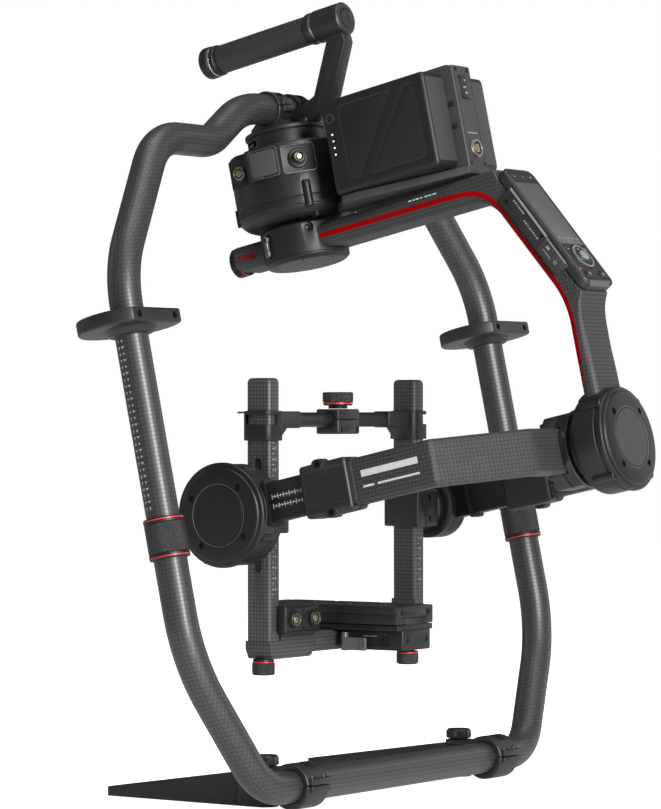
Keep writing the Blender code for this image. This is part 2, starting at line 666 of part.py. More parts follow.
def build_roll_clamp():
    corners = [math.radians(22.5 + 45 * i) for i in range(8)]
    octagon = [(38 * math.cos(t), ROLL_Z + 36.5 * math.sin(t)) for t in corners]
    clamp = add_piece("roll_clamp", prism(octagon, "y", -262.2, -232.4, 1.2), "satin")
    join(clamp, lathe(CLAMP_DISC, "y", (0, ROLL_Z), 40))
    cut(clamp, box((-60, 60), around(YOKE_Y, YOKE_T / 2 + GAP), around(ROLL_Z, YOKE_H / 2 + GAP)))


# ---------------------------------------------------------------- yoke
# Plan (x, y), left half: straight side, flat facet at the rear corner, back bar.
YOKE_HALF = [(-YOKE_X, -119.8), (-YOKE_X, -205.4), (-76.1, YOKE_Y)]
YOKE_STATIONS = filleted(mirrored(YOKE_HALF), [0, 13, 40, 40, 13, 0], 11.4)


def yoke_edge(x, y, corner_y, bar_x, bar_radius):
    """Plan line of the yoke's outer or inner face: side at x, back bar face at y."""
    corners = [(-x, -119), (-x, corner_y), (-bar_x, y), (0, y)]
    bends = filleted(corners, [0, 8, bar_radius, 0], 24)[1:-1]
    return mirrored([(-x, -110)] + [tuple(point) for point, _ in bends])


YOKE_OUTER = yoke_edge(YOKE_X + YOKE_T / 2, YOKE_Y - YOKE_T / 2, -212, 78, 30)
YOKE_INNER = yoke_edge(YOKE_X - YOKE_T / 2, YOKE_Y + YOKE_T / 2, -198.7, 74.1, 20)


def yoke_section(point, tangent):
    inward = Vector((-tangent.y, tangent.x))
    reach_in = distance_to_line(YOKE_INNER, point, inward)
    reach_out = distance_to_line(YOKE_OUTER, point, -inward)
    return rounded(YOKE_H, reach_in, reach_out, 5, 5, 3)


def arm_pocket(x, width, height, ys):
    """Cutter that clears an arm section of the given width and height."""
    return box(around(x, width / 2 + SLIDE_FIT), ys, around(ROLL_Z, height / 2 + SLIDE_FIT))


def build_yoke():
    sections = [yoke_section(*station) for station in YOKE_STATIONS]
    yoke = add_piece("roll_yoke", sweep(YOKE_STATIONS, in_roll_plane, sections), "carbon")
    for _, sign in SIDES:
        cut(yoke, arm_pocket(sign * YOKE_X, EXT_T, EXT_H, (-170, -100)))


def build_arm_clamp(side, sign):
    x = sign * YOKE_X
    body = box(around(x, 14), (-125, -72), around(ROLL_Z, 24), 1.8)
    clamp = add_piece(f"arm_clamp_{side}", body, "satin")
    cut(clamp, arm_pocket(x, YOKE_T, YOKE_H, (-140, -119.4)))
    cut(clamp, arm_pocket(x, EXT_T, EXT_H, (-130, -60)))


def build_arm_extension(side, sign):
    """Sliding bar, hollowed at its front end round the tilt motor or bearing."""
    bar = box(around(sign * YOKE_X, EXT_T / 2), (-141, -5), around(ROLL_Z, EXT_H / 2), 1.4)
    extension = add_piece(f"arm_extension_{side}", bar, "anodised")
    radius = MOTOR_R + 0.5 if sign < 0 else 31.0
    cut(extension, rod(radius, *span(sign, 0, 220), "x", (TILT_Y, TILT_Z), 32))


# ---------------------------------------------------------------- tilt motor and bearing
# Profiles about the tilt axis (radius, x); the motor is on the left.
TILT_PROFILE = [(0, -153), (40, -153), (44.5, -155), (MOTOR_R, -158), (MOTOR_R, -183),
                (45.6, -183.6), (45.6, -185), (MOTOR_R, -185.4), (MOTOR_R, TILT_OUTER),
                (0, TILT_OUTER)]
BEARING_PROFILE = [(0, 153), (27, 153), (30.5, 155), (30.5, 181), (28, 184), (20, 184),
                   (19, 182.8), (0, 182.8)]


def build_tilt_motor():
    centre = (TILT_Y, TILT_Z)
    housing = add_piece("tilt_motor_housing", lathe(TILT_PROFILE, "x", centre, 36), "anodised")
    join_lugs(housing, "x", centre, (52, 128, 218, 308), -166, TILT_OUTER)
    cap = motor_cap("x", centre, base=TILT_OUTER - GAP, rim=-189.4, face=-194.6)
    add_piece("tilt_motor_cap", cap, "anodised")


def build_tilt_bearing():
    add_piece("tilt_bearing_housing", lathe(BEARING_PROFILE, "x", (TILT_Y, TILT_Z), 28),
              "anodised")


def upright_pocket(sign, zs):
    """Cutter that clears a cage upright."""
    return box(around(sign * UP_X, UP_W / 2 + GAP), around(AXIS_Y, UP_D / 2 + GAP), zs)


def build_tilt_rotor(side, sign):
    """Block round the cage upright, with a disc towards the motor or bearing."""
    body = box(span(sign, 109.5, 147), around(AXIS_Y, 20), around(AXIS_Z, 18), 1.6)
    rotor = add_piece(f"tilt_rotor_{side}", body, "satin", (sign * 130, AXIS_Y, AXIS_Z), LEVEL)
    radius = 28 if sign < 0 else 22
    disc = [(0, 152.5), (radius, 152.5), (radius, 147), (19, 145), (0, 145)]
    disc = [(r, sign * x) for r, x in disc]
    join(rotor, lathe(disc, "x", (AXIS_Y, AXIS_Z), 36))
    cut(rotor, upright_pocket(sign, around(AXIS_Z, 40)))


# ---------------------------------------------------------------- camera cage
UP_YS = around(AXIS_Y, UP_D / 2)
CROSS_TOP = 153                         # top of the cross member
PORT_Z = 166.6
PLATE_TOP = 176.5
HEIGHT_KNOB = [(0, 115.5), (9.6, 115.5), (10.5, 116.4), (10.5, 126.6), (9.8, 127.4),
               (8.2, 127.4), (8.2, 133.6), (0, 133.6)]      # (radius, z)
PORT_RING = [(0, 47), (8.4, 47), (8.4, 41), (7.4, 40), (6, 40), (6, 43.5), (0, 43.5)]   # (r, y)
PLATE_KNOB = [(0, 121.5), (9.4, 121.5), (10.4, 122.4), (10.4, 133), (9.6, 134), (6.5, 134),
              (6.5, 134.6), (0, 134.6)]                     # (radius, z)
# Dovetail on the receiver and the camera plate that sits over it (x, z).
DOVETAIL = [(-16, 158), (16, 158), (16, 159.4), (20, 165), (-20, 165), (-16, 159.4)]
PLATE_SECTION = [(-32, 159.6), (-16.6, 159.6), (-20.7, 165.5), (20.7, 165.5), (16.6, 159.6),
                 (32, 159.6), (32, PLATE_TOP - 1), (31, PLATE_TOP), (-31, PLATE_TOP),
                 (-32, PLATE_TOP - 1)]


def build_stage_upright(side, sign):
    """Upright with two short slots through it."""
    x = sign * UP_X
    body = box(around(x, UP_W / 2), UP_YS, (UP_LO, UP_HI), 2.6, 2)
    upright = add_piece(f"stage_upright_{side}", body, "carbon", frame=LEVEL)
    radius, half_straight = 3.6, 1.8
    for z in (217.4, 310.5):
        slot = []
        for i in range(16):
            t = 2 * math.pi * (i + 0.5) / 16
            middle = z + (half_straight if math.sin(t) > 0 else -half_straight)
            slot.append((AXIS_Y + radius * math.cos(t), middle + radius * math.sin(t)))
        cut(upright, prism(slot, "x", x - 20, x + 20))


def build_cross_member():
    body = box(around(0, UP_X - UP_W / 2 - GAP), UP_YS, (UP_LO, CROSS_TOP), 2.4, 2)
    add_piece("stage_cross_member", body, "carbon", frame=LEVEL)


def build_height_knob():
    add_piece("stage_height_knob", lathe(HEIGHT_KNOB, "z", (-UP_X, AXIS_Y), 20), "knurl",
              (-UP_X, AXIS_Y, 121), LEVEL)


def build_port_block():
    """Block on the left of the cross member, with two round ports at the back."""
    body = box((-113.4, -66), (45.5, 79), (153.6, 179.5), 1.6)
    block = add_piece("port_block", body, "anodised", frame=LEVEL)
    for x in (-102.5, -77):
        join(block, lathe(PORT_RING, "y", (x, PORT_Z), 22))


def build_plate_receiver():
    """Dovetail plate, with blocks under it behind and in front of the cross member."""
    body = box((-30, 30), (-18, 130), (153.5, 159.1), 0.8)
    receiver = add_piece("plate_receiver", body, "anodised", frame=LEVEL)
    join(receiver, prism(DOVETAIL, "y", -17, 129))
    join(receiver, box((-24, 24), (-19.5, 51), (135, 154.5), 1.4))
    join(receiver, box((-24, 24), (UP_YS[1] + 0.5, UP_YS[1] + 11), (138, 154.5), 1.2))


def build_plate_knob():
    add_piece("plate_knob", lathe(PLATE_KNOB, "z", (0, -9), 20), "knurl", (0, -9, 128), LEVEL)


def build_plate_lever():
    pivot = (-28.2, 43)
    bar = box((-31.4, -27.8), (18, 44), (134.5, 146.5), 0.7)
    lever = add_piece("plate_lever", bar, "alloy", (*pivot, 141), LEVEL)
    join(lever, rod(3.4, 134, 151, "z", pivot, 20))


def build_camera_plate():
    plate = add_piece("camera_plate", prism(PLATE_SECTION, "y", -17, 150, 0.4), "anodised",
                      frame=LEVEL)
    # crosswise slots: circles split in two and pulled apart
    for slot_y in (20, 60, 100):
        slot = [(x + (8 if x > 0 else -8), y + slot_y) for x, y in circle(3.3, 16)]
        cut(plate, prism(slot, "z", 168, 190))


# ---------------------------------------------------------------- top crossbar
ROD_AXIS = (AXIS_Y, 351.2)              # (y, z)
CROSSBAR_KNOB = [(0, 361.7), (9, 361.7), (9, 364.6), (13.8, 364.6), (14.6, 365.5),
                 (14.6, 376), (13.6, 377.4), (0, 377.4)]    # (radius, z)


def build_top_crossbar():
    """Rod with a block round each upright and a narrower block inside that."""
    bar = add_piece("top_crossbar", rod(7.0, -118, 118, "x", ROD_AXIS, 22), "anodised",
                    frame=LEVEL)
    for _, sign in SIDES:
        join(bar, box(span(sign, 110.2, 136.5), around(AXIS_Y, 15.5), (332, 359.6), 2.0))
        join(bar, box(span(sign, 85, 111.5), around(AXIS_Y, 10), (342.4, 359.4), 1.2))
        cut(bar, upright_pocket(sign, (320, 370)))
        # shallow recess in the outer face
        cut(bar, box(span(sign, 130, 140), (AXIS_Y - 10, AXIS_Y + 9), (346.5, 356.5), 2.0))


def build_crossbar_slider():
    body = box((-18.5, 18.5), around(AXIS_Y, 13), (337.5, 361.3), 1.8)
    slider = add_piece("crossbar_slider", body, "satin", frame=LEVEL)
    cut(slider, rod(7.5, -30, 30, "x", ROD_AXIS, 24))
    add_piece("crossbar_knob", lathe(CROSSBAR_KNOB, "z", (0, AXIS_Y), 24), "knurl",
              (0, AXIS_Y, 370), LEVEL)


# ---------------------------------------------------------------- build
build_ring_tube("ring_lower_tube", LOWER_HALF, LOWER_RADII, turn=10)
build_ring_tube("ring_upper_tube", UPPER_HALF, UPPER_RADII, turn=11)

for build in (build_pan_drum, build_pan_housing, build_port_cover, build_handle,
              build_battery_bracket, build_power_switch, build_pan_hub, build_pan_arm,
              build_hub_lever, build_control_panel, build_roll_motor, build_roll_clamp,
              build_yoke, build_tilt_motor, build_tilt_bearing, build_cross_member,
              build_height_knob, build_port_block, build_plate_receiver, build_plate_knob,
              build_plate_lever, build_camera_plate, build_top_crossbar,
              build_crossbar_slider):
    build()

for side_name, side_sign in SIDES:
    for build in (build_lock_collar, build_grip_guard, build_top_clamp, build_battery,
                  build_foot_clamp, build_foot, build_arm_clamp, build_arm_extension,
                  build_tilt_rotor, build_stage_upright):
        build(side_name, side_sign)
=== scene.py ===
import math

import bmesh
import bpy
from mathutils import Matrix, Vector


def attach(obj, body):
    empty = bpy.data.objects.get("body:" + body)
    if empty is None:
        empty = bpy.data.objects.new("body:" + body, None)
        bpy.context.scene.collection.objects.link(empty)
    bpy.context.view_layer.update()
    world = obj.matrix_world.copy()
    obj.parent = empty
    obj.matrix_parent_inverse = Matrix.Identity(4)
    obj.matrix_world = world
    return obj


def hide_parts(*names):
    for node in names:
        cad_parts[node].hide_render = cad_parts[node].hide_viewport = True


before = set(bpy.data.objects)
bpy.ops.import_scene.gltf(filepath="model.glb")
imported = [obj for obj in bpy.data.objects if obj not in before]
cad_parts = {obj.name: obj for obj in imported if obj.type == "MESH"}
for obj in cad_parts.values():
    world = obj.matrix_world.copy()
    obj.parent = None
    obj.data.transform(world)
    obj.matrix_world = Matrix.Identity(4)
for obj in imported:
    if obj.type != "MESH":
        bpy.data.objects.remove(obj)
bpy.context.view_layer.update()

# ------------------------------------------------------------------ dimensions (mm)
LEAN, BAR_H, ORIGIN_Y = 12.18, 21.0, 16.31
TUBE_R = 15.0
RING_X, RING_SPLIT = 300.0, 231.5
COLLAR_LO, COLLAR_HI = 213.0, 250.0
GUARD_Z, GUARD_T, GUARD_R, GUARD_FLAT = 427.0, 13.0, 47.0, 32.0
TOP_Z = 641.0
PAN_R, PAN_LO, PAN_HI = 58.5, 529.0, 601.0
DRUM_R, DRUM_HI = 37.4, 621.5
HUB_R, HUB_LO, HUB_HI = 41.0, 490.0, 525.6
ARM_W, ARM_Z = 48.0, 510.0
DIAG_0, DIAG_D, DIAG_N = (-232.3, 477.8), (-0.469, -0.883), (-0.883, 0.469)
ROLL_Z, ROLL_R = 254.5, 46.5
YOKE_X, YOKE_Y, YOKE_T, YOKE_H = 172.0, -246.0, 20.0, 42.0
EXT_T, EXT_H = 17.0, 36.4
TILT_Y, TILT_Z, TILT_R = 16.7, 252.8, 46.5
UP_X, UP_W, UP_D, UP_LO, UP_HI = 123.3, 18.0, 27.0, 134.0, 390.0
HZ = 709.0
GAP = 0.4
c_, s_ = math.cos(math.radians(LEAN)), math.sin(math.radians(LEAN))
AX_Y, AX_Z = TILT_Y * c_ + TILT_Z * s_, BAR_H - TILT_Y * s_ + TILT_Z * c_
SIDES = (("left", -1), ("right", 1))

MM = Matrix.Scale(0.001, 4)
LEVEL_M = Matrix.Translation((0, ORIGIN_Y / 1000, 0)) @ MM
LEAN_M = Matrix.Translation((0, ORIGIN_Y / 1000, BAR_H / 1000)) @ Matrix.Rotation(math.radians(-LEAN), 4, "X") @ MM
FRAMES = {"L": LEAN_M, "W": LEVEL_M}


# ------------------------------------------------------------------ materials
class Mat:
    """A Principled material with small helpers for wiring nodes."""

    def __init__(self, name, base, rough, metal=0.0, coat=0.0, coat_rough=0.2, spec=0.5):
        m = bpy.data.materials.new(name)
        m.use_nodes = True
        self.m, self.t = m, m.node_tree
        self.b = self.t.nodes["Principled BSDF"]
        self.b.inputs["Base Color"].default_value = (*base, 1)
        self.b.inputs["Roughness"].default_value = rough
        self.b.inputs["Metallic"].default_value = metal
        self.b.inputs["Coat Weight"].default_value = coat
        self.b.inputs["Coat Roughness"].default_value = coat_rough
        self.b.inputs["Specular IOR Level"].default_value = spec
        m.diffuse_color = (*base, 1)

    def node(self, kind, **props):
        n = self.t.nodes.new(kind)
        for k, v in props.items():
            setattr(n, k, v)
        return n

    def link(self, a, b):
        self.t.links.new(a, b)

    def put(self, socket, value):
        if isinstance(value, bpy.types.NodeSocket):
            self.t.links.new(value, socket)
        else:
            socket.default_value = value

    def coords(self, kind="Object", scale=(1, 1, 1), loc=(0, 0, 0), rot=(0, 0, 0)):
        tc = self.node("ShaderNodeTexCoord")
        mp = self.node("ShaderNodeMapping")
        mp.inputs["Scale"].default_value = scale
        mp.inputs["Location"].default_value = loc
        mp.inputs["Rotation"].default_value = rot
        self.link(tc.outputs[kind], mp.inputs["Vector"])
        return mp.outputs["Vector"]

    def math(self, op, a, b=0.0, clamp=False):
        n = self.node("ShaderNodeMath", operation=op, use_clamp=clamp)
        self.put(n.inputs[0], a)
        self.put(n.inputs[1], b)
        return n.outputs[0]

    def noise(self, vec, scale, detail=3.0, rough=0.55):
        n = self.node("ShaderNodeTexNoise")
        self.link(vec, n.inputs["Vector"])
        n.inputs["Scale"].default_value = scale
        n.inputs["Detail"].default_value = detail
        n.inputs["Roughness"].default_value = rough
        return n.outputs["Fac"]

    def ramp(self, fac, stops):
        n = self.node("ShaderNodeValToRGB")
        self.link(fac, n.inputs["Fac"])
        el = n.color_ramp.elements
        while len(el) < len(stops):
            el.new(0.5)
        for e, (p, c) in zip(el, stops):
            e.position = p
            e.color = (c, c, c, 1) if isinstance(c, (int, float)) else (*c, 1)
        return n.outputs["Color"]

    def mix(self, fac, a, b):
        n = self.node("ShaderNodeMix", data_type="RGBA")
        self.put(n.inputs[0], fac)
        self.put(n.inputs[6], a if isinstance(a, bpy.types.NodeSocket) else (*a, 1))
        self.put(n.inputs[7], b if isinstance(b, bpy.types.NodeSocket) else (*b, 1))
        return n.outputs[2]

    def bump(self, height, strength, distance=0.0001, into="Normal", normal=None):
        n = self.node("ShaderNodeBump")
        n.inputs["Strength"].default_value = strength
        n.inputs["Distance"].default_value = distance
        self.link(height, n.inputs["Height"])
        if normal is not None:
            self.link(normal, n.inputs["Normal"])
        if into:
            self.link(n.outputs["Normal"], self.b.inputs[into])
        return n.outputs["Normal"]


def carbon(name, cell=3.7, dark=0.006, light=0.030, gloss=0.36, edge=0.8, coat=0.5, square_on=False):
    """Spread-tow weave drawn in the piece's UV millimetres: squares of tow on a regular grid, fibres running both ways, relief and a satin coat."""
    k = Mat(name, (0.02, 0.02, 0.021), gloss, 0.0, coat, 0.30)
    v = k.coords("UV", (1 / cell, 1 / cell, 1), (0.003, 0.003, 0.5))
    if square_on:
        # square tubes: the level direction of either face against the height, in metres
        o3 = k.node("ShaderNodeSeparateXYZ")
        k.link(k.coords("Object"), o3.inputs[0])
        v3 = k.node("ShaderNodeCombineXYZ")
        k.link(k.math("MULTIPLY", k.math("ADD", o3.outputs[0], o3.outputs[1]), 1000.0 / cell), v3.inputs[0])
        k.link(k.math("MULTIPLY", o3.outputs[2], 1000.0 / cell), v3.inputs[1])
        v3.inputs[2].default_value = 0.5
        v = v3.outputs[0]
    chk = k.node("ShaderNodeTexChecker")
    k.link(v, chk.inputs["Vector"])
    chk.inputs["Scale"].default_value = 1.0
    sep = k.node("ShaderNodeSeparateXYZ")
    k.link(v, sep.inputs[0])
    su = k.math("ABSOLUTE", k.math("SINE", k.math("MULTIPLY", sep.outputs[0], math.pi)))
    sv = k.math("ABSOLUTE", k.math("SINE", k.math("MULTIPLY", sep.outputs[1], math.pi)))
    square = k.math("POWER", k.math("MULTIPLY", su, sv), edge)
    fac = chk.outputs["Fac"]
    inv = k.math("SUBTRACT", 1.0, fac)
    height = k.math("ADD", k.math("MULTIPLY", fac, su), k.math("MULTIPLY", inv, sv))
    # fine fibres inside every tow
    fib = k.coords("UV", (16 / cell, 0.9 / cell, 1))
    fib2 = k.coords("UV", (0.9 / cell, 16 / cell, 1))
    f = k.math("ADD", k.math("MULTIPLY", fac, k.noise(fib, 1.0, 2.0)), k.math("MULTIPLY", inv, k.noise(fib2, 1.0, 2.0)))
    blot = k.noise(k.coords("Object"), 26.0, 3.0)
    tone = k.math("ADD", 0.08, k.math("MULTIPLY", square, 0.92))
    tone = k.math("MULTIPLY", tone, k.math("ADD", 0.88, k.math("MULTIPLY", fac, 0.12)))
    tone = k.math("MULTIPLY", tone, k.math("ADD", 0.70, k.math("MULTIPLY", f, 0.6)))
    tone = k.math("MULTIPLY", tone, k.math("ADD", 0.8, k.math("MULTIPLY", blot, 0.4)), True)
    k.link(k.mix(tone, (dark, dark, dark * 1.04), (light, light, light * 1.02)), k.b.inputs["Base Color"])
    k.link(k.math("ADD", gloss, k.math("MULTIPLY", k.math("SUBTRACT", 1.0, square), 0.2)), k.b.inputs["Roughness"])
    k.bump(k.math("ADD", height, k.math("MULTIPLY", f, 0.3)), 0.16, 0.0002)
    return k.m


def coated(name, base, rough, metal, grain=2600.0, bump=0.12, var=0.35, spec=0.5, streak=None):
    """Blasted or powder-coated surface: fine grain relief, cloudy gloss and faint handling marks."""
    k = Mat(name, base, rough, metal, spec=spec)
    o = k.coords("Object")
    fine = k.noise(o, grain, 2.0, 0.6)
    mid = k.noise(o, 180.0, 4.0, 0.6)
    big = k.noise(o, 14.0, 3.0)
    tint = k.math("ADD", 1.0 - var / 2, k.math("MULTIPLY", k.math("ADD", k.math("MULTIPLY", fine, 0.55), k.math("MULTIPLY", big, 0.45)), var))
    col = k.node("ShaderNodeMix", data_type="RGBA", blend_type="MULTIPLY")
    col.inputs[0].default_value = 1.0
    col.inputs[6].default_value = (*base, 1)
    cc = k.node("ShaderNodeCombineColor")
    for i in range(3):
        k.link(tint, cc.inputs[i])
    k.link(cc.outputs[0], col.inputs[7])
    # sparse bright rub marks
    rub = k.ramp(k.noise(k.coords("Object", (1, 1, 0.25)), 300.0, 5.0, 0.7), [(0.0, 0.0), (0.66, 0.0), (0.74, 1.0)])
    k.link(k.mix(k.math("MULTIPLY", rub, 0.10), col.outputs[2], tuple(min(1.0, x * 2.4 + 0.01) for x in base)), k.b.inputs["Base Color"])
    k.link(k.math("ADD", rough - 0.08, k.math("MULTIPLY", k.math("ADD", k.math("MULTIPLY", mid, 0.5), k.math("MULTIPLY", big, 0.5)), 0.17)), k.b.inputs["Roughness"])
    height = fine
    if streak:
        height = k.math("ADD", k.math("MULTIPLY", fine, 0.4), k.math("MULTIPLY", k.noise(k.coords("Object", streak), 900.0, 2.0), 0.6))
    k.bump(height, bump, 0.0001)
    return k.m


def uv_lines(name, base, rough, metal, pitch, kind, depth=0.5, coat=0.0):
    """Knurls, ribs and weaves cut as relief in UV millimetres."""
    k = Mat(name, base, rough, metal, coat)
    v = k.coords("UV", (1 / pitch, 1 / pitch, 1))
    sep = k.node("ShaderNodeSeparateXYZ")
    k.link(v, sep.inputs[0])
    u, w = sep.outputs[0], sep.outputs[1]

    def wave(x):
        return k.math("ABSOLUTE", k.math("SINE", k.math("MULTIPLY", x, math.pi)))

    if kind == "diamond":
        h = k.math("MULTIPLY", wave(k.math("ADD", u, w)), wave(k.math("SUBTRACT", u, w)))
    elif kind == "ribs":
        h = wave(u)
    else:
        h = wave(w)
    grime = k.noise(k.coords("Object"), 240.0, 4.0)
    tone = k.math("ADD", k.math("MULTIPLY", h, 0.75), k.math("MULTIPLY", grime, 0.25), True)
    k.link(k.mix(tone, tuple(x * 0.35 for x in base), tuple(min(1.0, x * 1.25) for x in base)), k.b.inputs["Base Color"])
    k.link(k.math("ADD", rough - 0.05, k.math("MULTIPLY", grime, 0.14)), k.b.inputs["Roughness"])
    k.bump(h, depth, 0.0006)
    return k.m


def plain(name, base, rough, metal=0.0, emit=0.0, grain=1800.0, bump=0.05, coat=0.0):
    k = Mat(name, base, rough, metal, coat)
    o = k.coords("Object")
    n = k.noise(o, grain, 3.0)
    b = k.noise(o, 60.0, 3.0)
    k.link(k.mix(n, tuple(x * 0.88 for x in base), tuple(min(1.0, x * 1.08) for x in base)), k.b.inputs["Base Color"])
    k.link(k.math("ADD", rough - 0.05, k.math("MULTIPLY", b, 0.1)), k.b.inputs["Roughness"])
    k.bump(n, bump, 0.0001)
    if emit:
        k.b.inputs["Emission Color"].default_value = (*base, 1)
        k.b.inputs["Emission Strength"].default_value = emit
    return k.m


MT = {
    "carbon": carbon("weave_ring", 3.7, 0.005, 0.034, 0.42, 0.8, 0.35),
    "carbon_fine": carbon("weave_fine", 3.5, 0.006, 0.060, 0.44, 0.8, 0.2, True),
    "carbon_diag": carbon("weave_arm", 3.6, 0.006, 0.034, 0.52, 0.8, 0.05),
    "anodised": coated("anodised_black", (0.0115, 0.0115, 0.0122), 0.46, 0.35, 2600.0, 0.14),
    "satin": coated("satin_black", (0.0135, 0.0135, 0.014), 0.44, 0.15, 2000.0, 0.16),
    "cap": coated("anodised_cap", (0.0055, 0.0055, 0.0057), 0.42, 0.2, 3000.0, 0.08),
    "bracket": coated("cast_black", (0.030, 0.030, 0.031), 0.58, 0.1, 1300.0, 0.35),
    "plastic": coated("plastic_black", (0.011, 0.011, 0.0113), 0.50, 0.0, 2400.0, 0.10),
    "battery": coated("battery_case", (0.0060, 0.0060, 0.0062), 0.50, 0.0, 2400.0, 0.09, 0.25, 0.4),
    # lighter grey: along the battery's groove outlines it is a painted edge highlight; the end pad wears it as its own
    # grey
    "battery_grey_and_painted_outline_highlight": coated("battery_grey_and_painted_outline_highlight", (0.030, 0.030, 0.031), 0.60, 0.0, 1500.0, 0.30),
    "rubber": coated("rubber_black", (0.020, 0.020, 0.0205), 0.78, 0.0, 1700.0, 0.30),
    "grip": coated("foam_grip", (0.016, 0.016, 0.0164), 0.62, 0.0, 1300.0, 0.42),
    "knurl": uv_lines("knurl_diamond", (0.045, 0.045, 0.047), 0.36, 0.6, 2.4, "diamond", 0.9),
    "knurl_ribs": uv_lines("knurl_ribs", (0.036, 0.036, 0.038), 0.36, 0.55, 1.6, "ribs", 0.8),
    "rib_rubber": uv_lines("ribbed_rubber", (0.050, 0.050, 0.051), 0.55, 0.0, 2.4, "diamond", 0.6),
    "red": plain("red_stripe", (0.22, 0.0003, 0.0005), 0.5, 0.0, 0.0, 2200.0, 0.06, 0.0),
    "red_ring": plain("red_ring", (0.60, 0.022, 0.018), 0.36, 0.0, 0.0, 2200.0, 0.04, 0.2),
    "white": plain("printed_white", (0.46, 0.46, 0.46), 0.55, 0.0, 0.0, 2500.0, 0.05),
    "grey_print": plain("printed_grey", (0.22, 0.22, 0.22), 0.55, 0.0, 0.0, 2500.0, 0.05),
    "led": plain("led_white", (0.9, 0.9, 0.9), 0.4, 0.0, 1.0, 2500.0, 0.02),
    "brass": plain("brass_plating", (0.52, 0.46, 0.24), 0.36, 1.0, 0.0, 2200.0, 0.08),
    "nickel": plain("nickel_plating", (0.34, 0.32, 0.28), 0.36, 1.0, 0.0, 2600.0, 0.06),
    "steel": plain("dark_steel", (0.16, 0.16, 0.165), 0.34, 1.0, 0.0, 2600.0, 0.08),
    "silver": plain("bright_ring", (0.55, 0.55, 0.56), 0.26, 1.0, 0.0, 2600.0, 0.05),
    # near black for seam lines (dark joints), socket throats and latches; the black floors in the upright slots and the
    # black bars on the bracket's front slots are painted shade
    "joint_black_and_painted_shade": plain("deep_black_joints_and_painted_shade", (0.004, 0.004, 0.004), 0.7, 0.0, 0.0, 1500.0, 0.05),
    "screen": plain("screen_glass", (0.066, 0.066, 0.067), 0.42, 0.0, 0.0, 900.0, 0.004),
    # light grey: on the panel rim, cover edge and flap edge strips it is a painted edge highlight; the dial ring and
    # dome wear it as their own grey
    "bevel": plain("light_grey_and_painted_edge_highlight", (0.20, 0.20, 0.203), 0.45, 0.2, 0.0, 2200.0, 0.06),
    "cover": coated("cover_black", (0.011, 0.011, 0.0112), 0.5, 0.0, 2400.0, 0.08),
    # dark grey: the port and cover frames, the battery key ring, the panel chin strip and the cap rims wear it as a
    # painted edge highlight; the plate lever wears it as its own grey
    "edge": plain("dark_grey_and_painted_edge_highlight", (0.075, 0.075, 0.077), 0.42, 0.2, 0.0, 2200.0, 0.06),
    # lighter grey for the roll cap's middle disc, which faces the lamps, while the tilt cap's disc takes the dark cap
    # material: painted light
    "disc": coated("cap_disc_painted_light", (0.026, 0.026, 0.0266), 0.60, 0.0, 2600.0, 0.12),
    "screw": plain("screw_black", (0.030, 0.030, 0.031), 0.32, 0.9, 0.0, 2600.0, 0.08),
}

MT["red"].node_tree.nodes["Principled BSDF"].inputs["Specular IOR Level"].default_value = 0.05


# ------------------------------------------------------------------ geometry helpers
def to3(axis, a, b, h):
    return {"x": (h, a, b), "y": (a, h, b), "z": (a, b, h)}[axis]


def uvl(bm):
    return bm.loops.layers.uv.verify()


def quad(bm, uv, vs, uvs):
    f = bm.faces.new(vs)
    for lp, t in zip(f.loops, uvs):
        lp[uv].uv = t
    return f


def smooth_profile(profile, r=0.5, n=3):
    """Round a profile's corners so that edges catch the light."""
    out = []
    m = len(profile)
    for i, p in enumerate(profile):
        p = Vector(p)
        a, b = Vector(profile[i - 1]), Vector(profile[(i + 1) % m])
        if p.x < 1e-6 or (p - a).length < 1e-6 or (p - b).length < 1e-6:
            out.append(tuple(p))
            continue
        ua, ub = (a - p).normalized(), (b - p).normalized()
        if ua.dot(ub) < -0.985:
            out.append(tuple(p))
            continue
        d = min(r, (a - p).length * 0.45, (b - p).length * 0.45)
        for k in range(n + 1):
            t = k / n
            q = (p + ua * d) * (1 - t) ** 2 + p * 2 * t * (1 - t) + (p + ub * d) * t ** 2
            out.append(tuple(q))
    return out


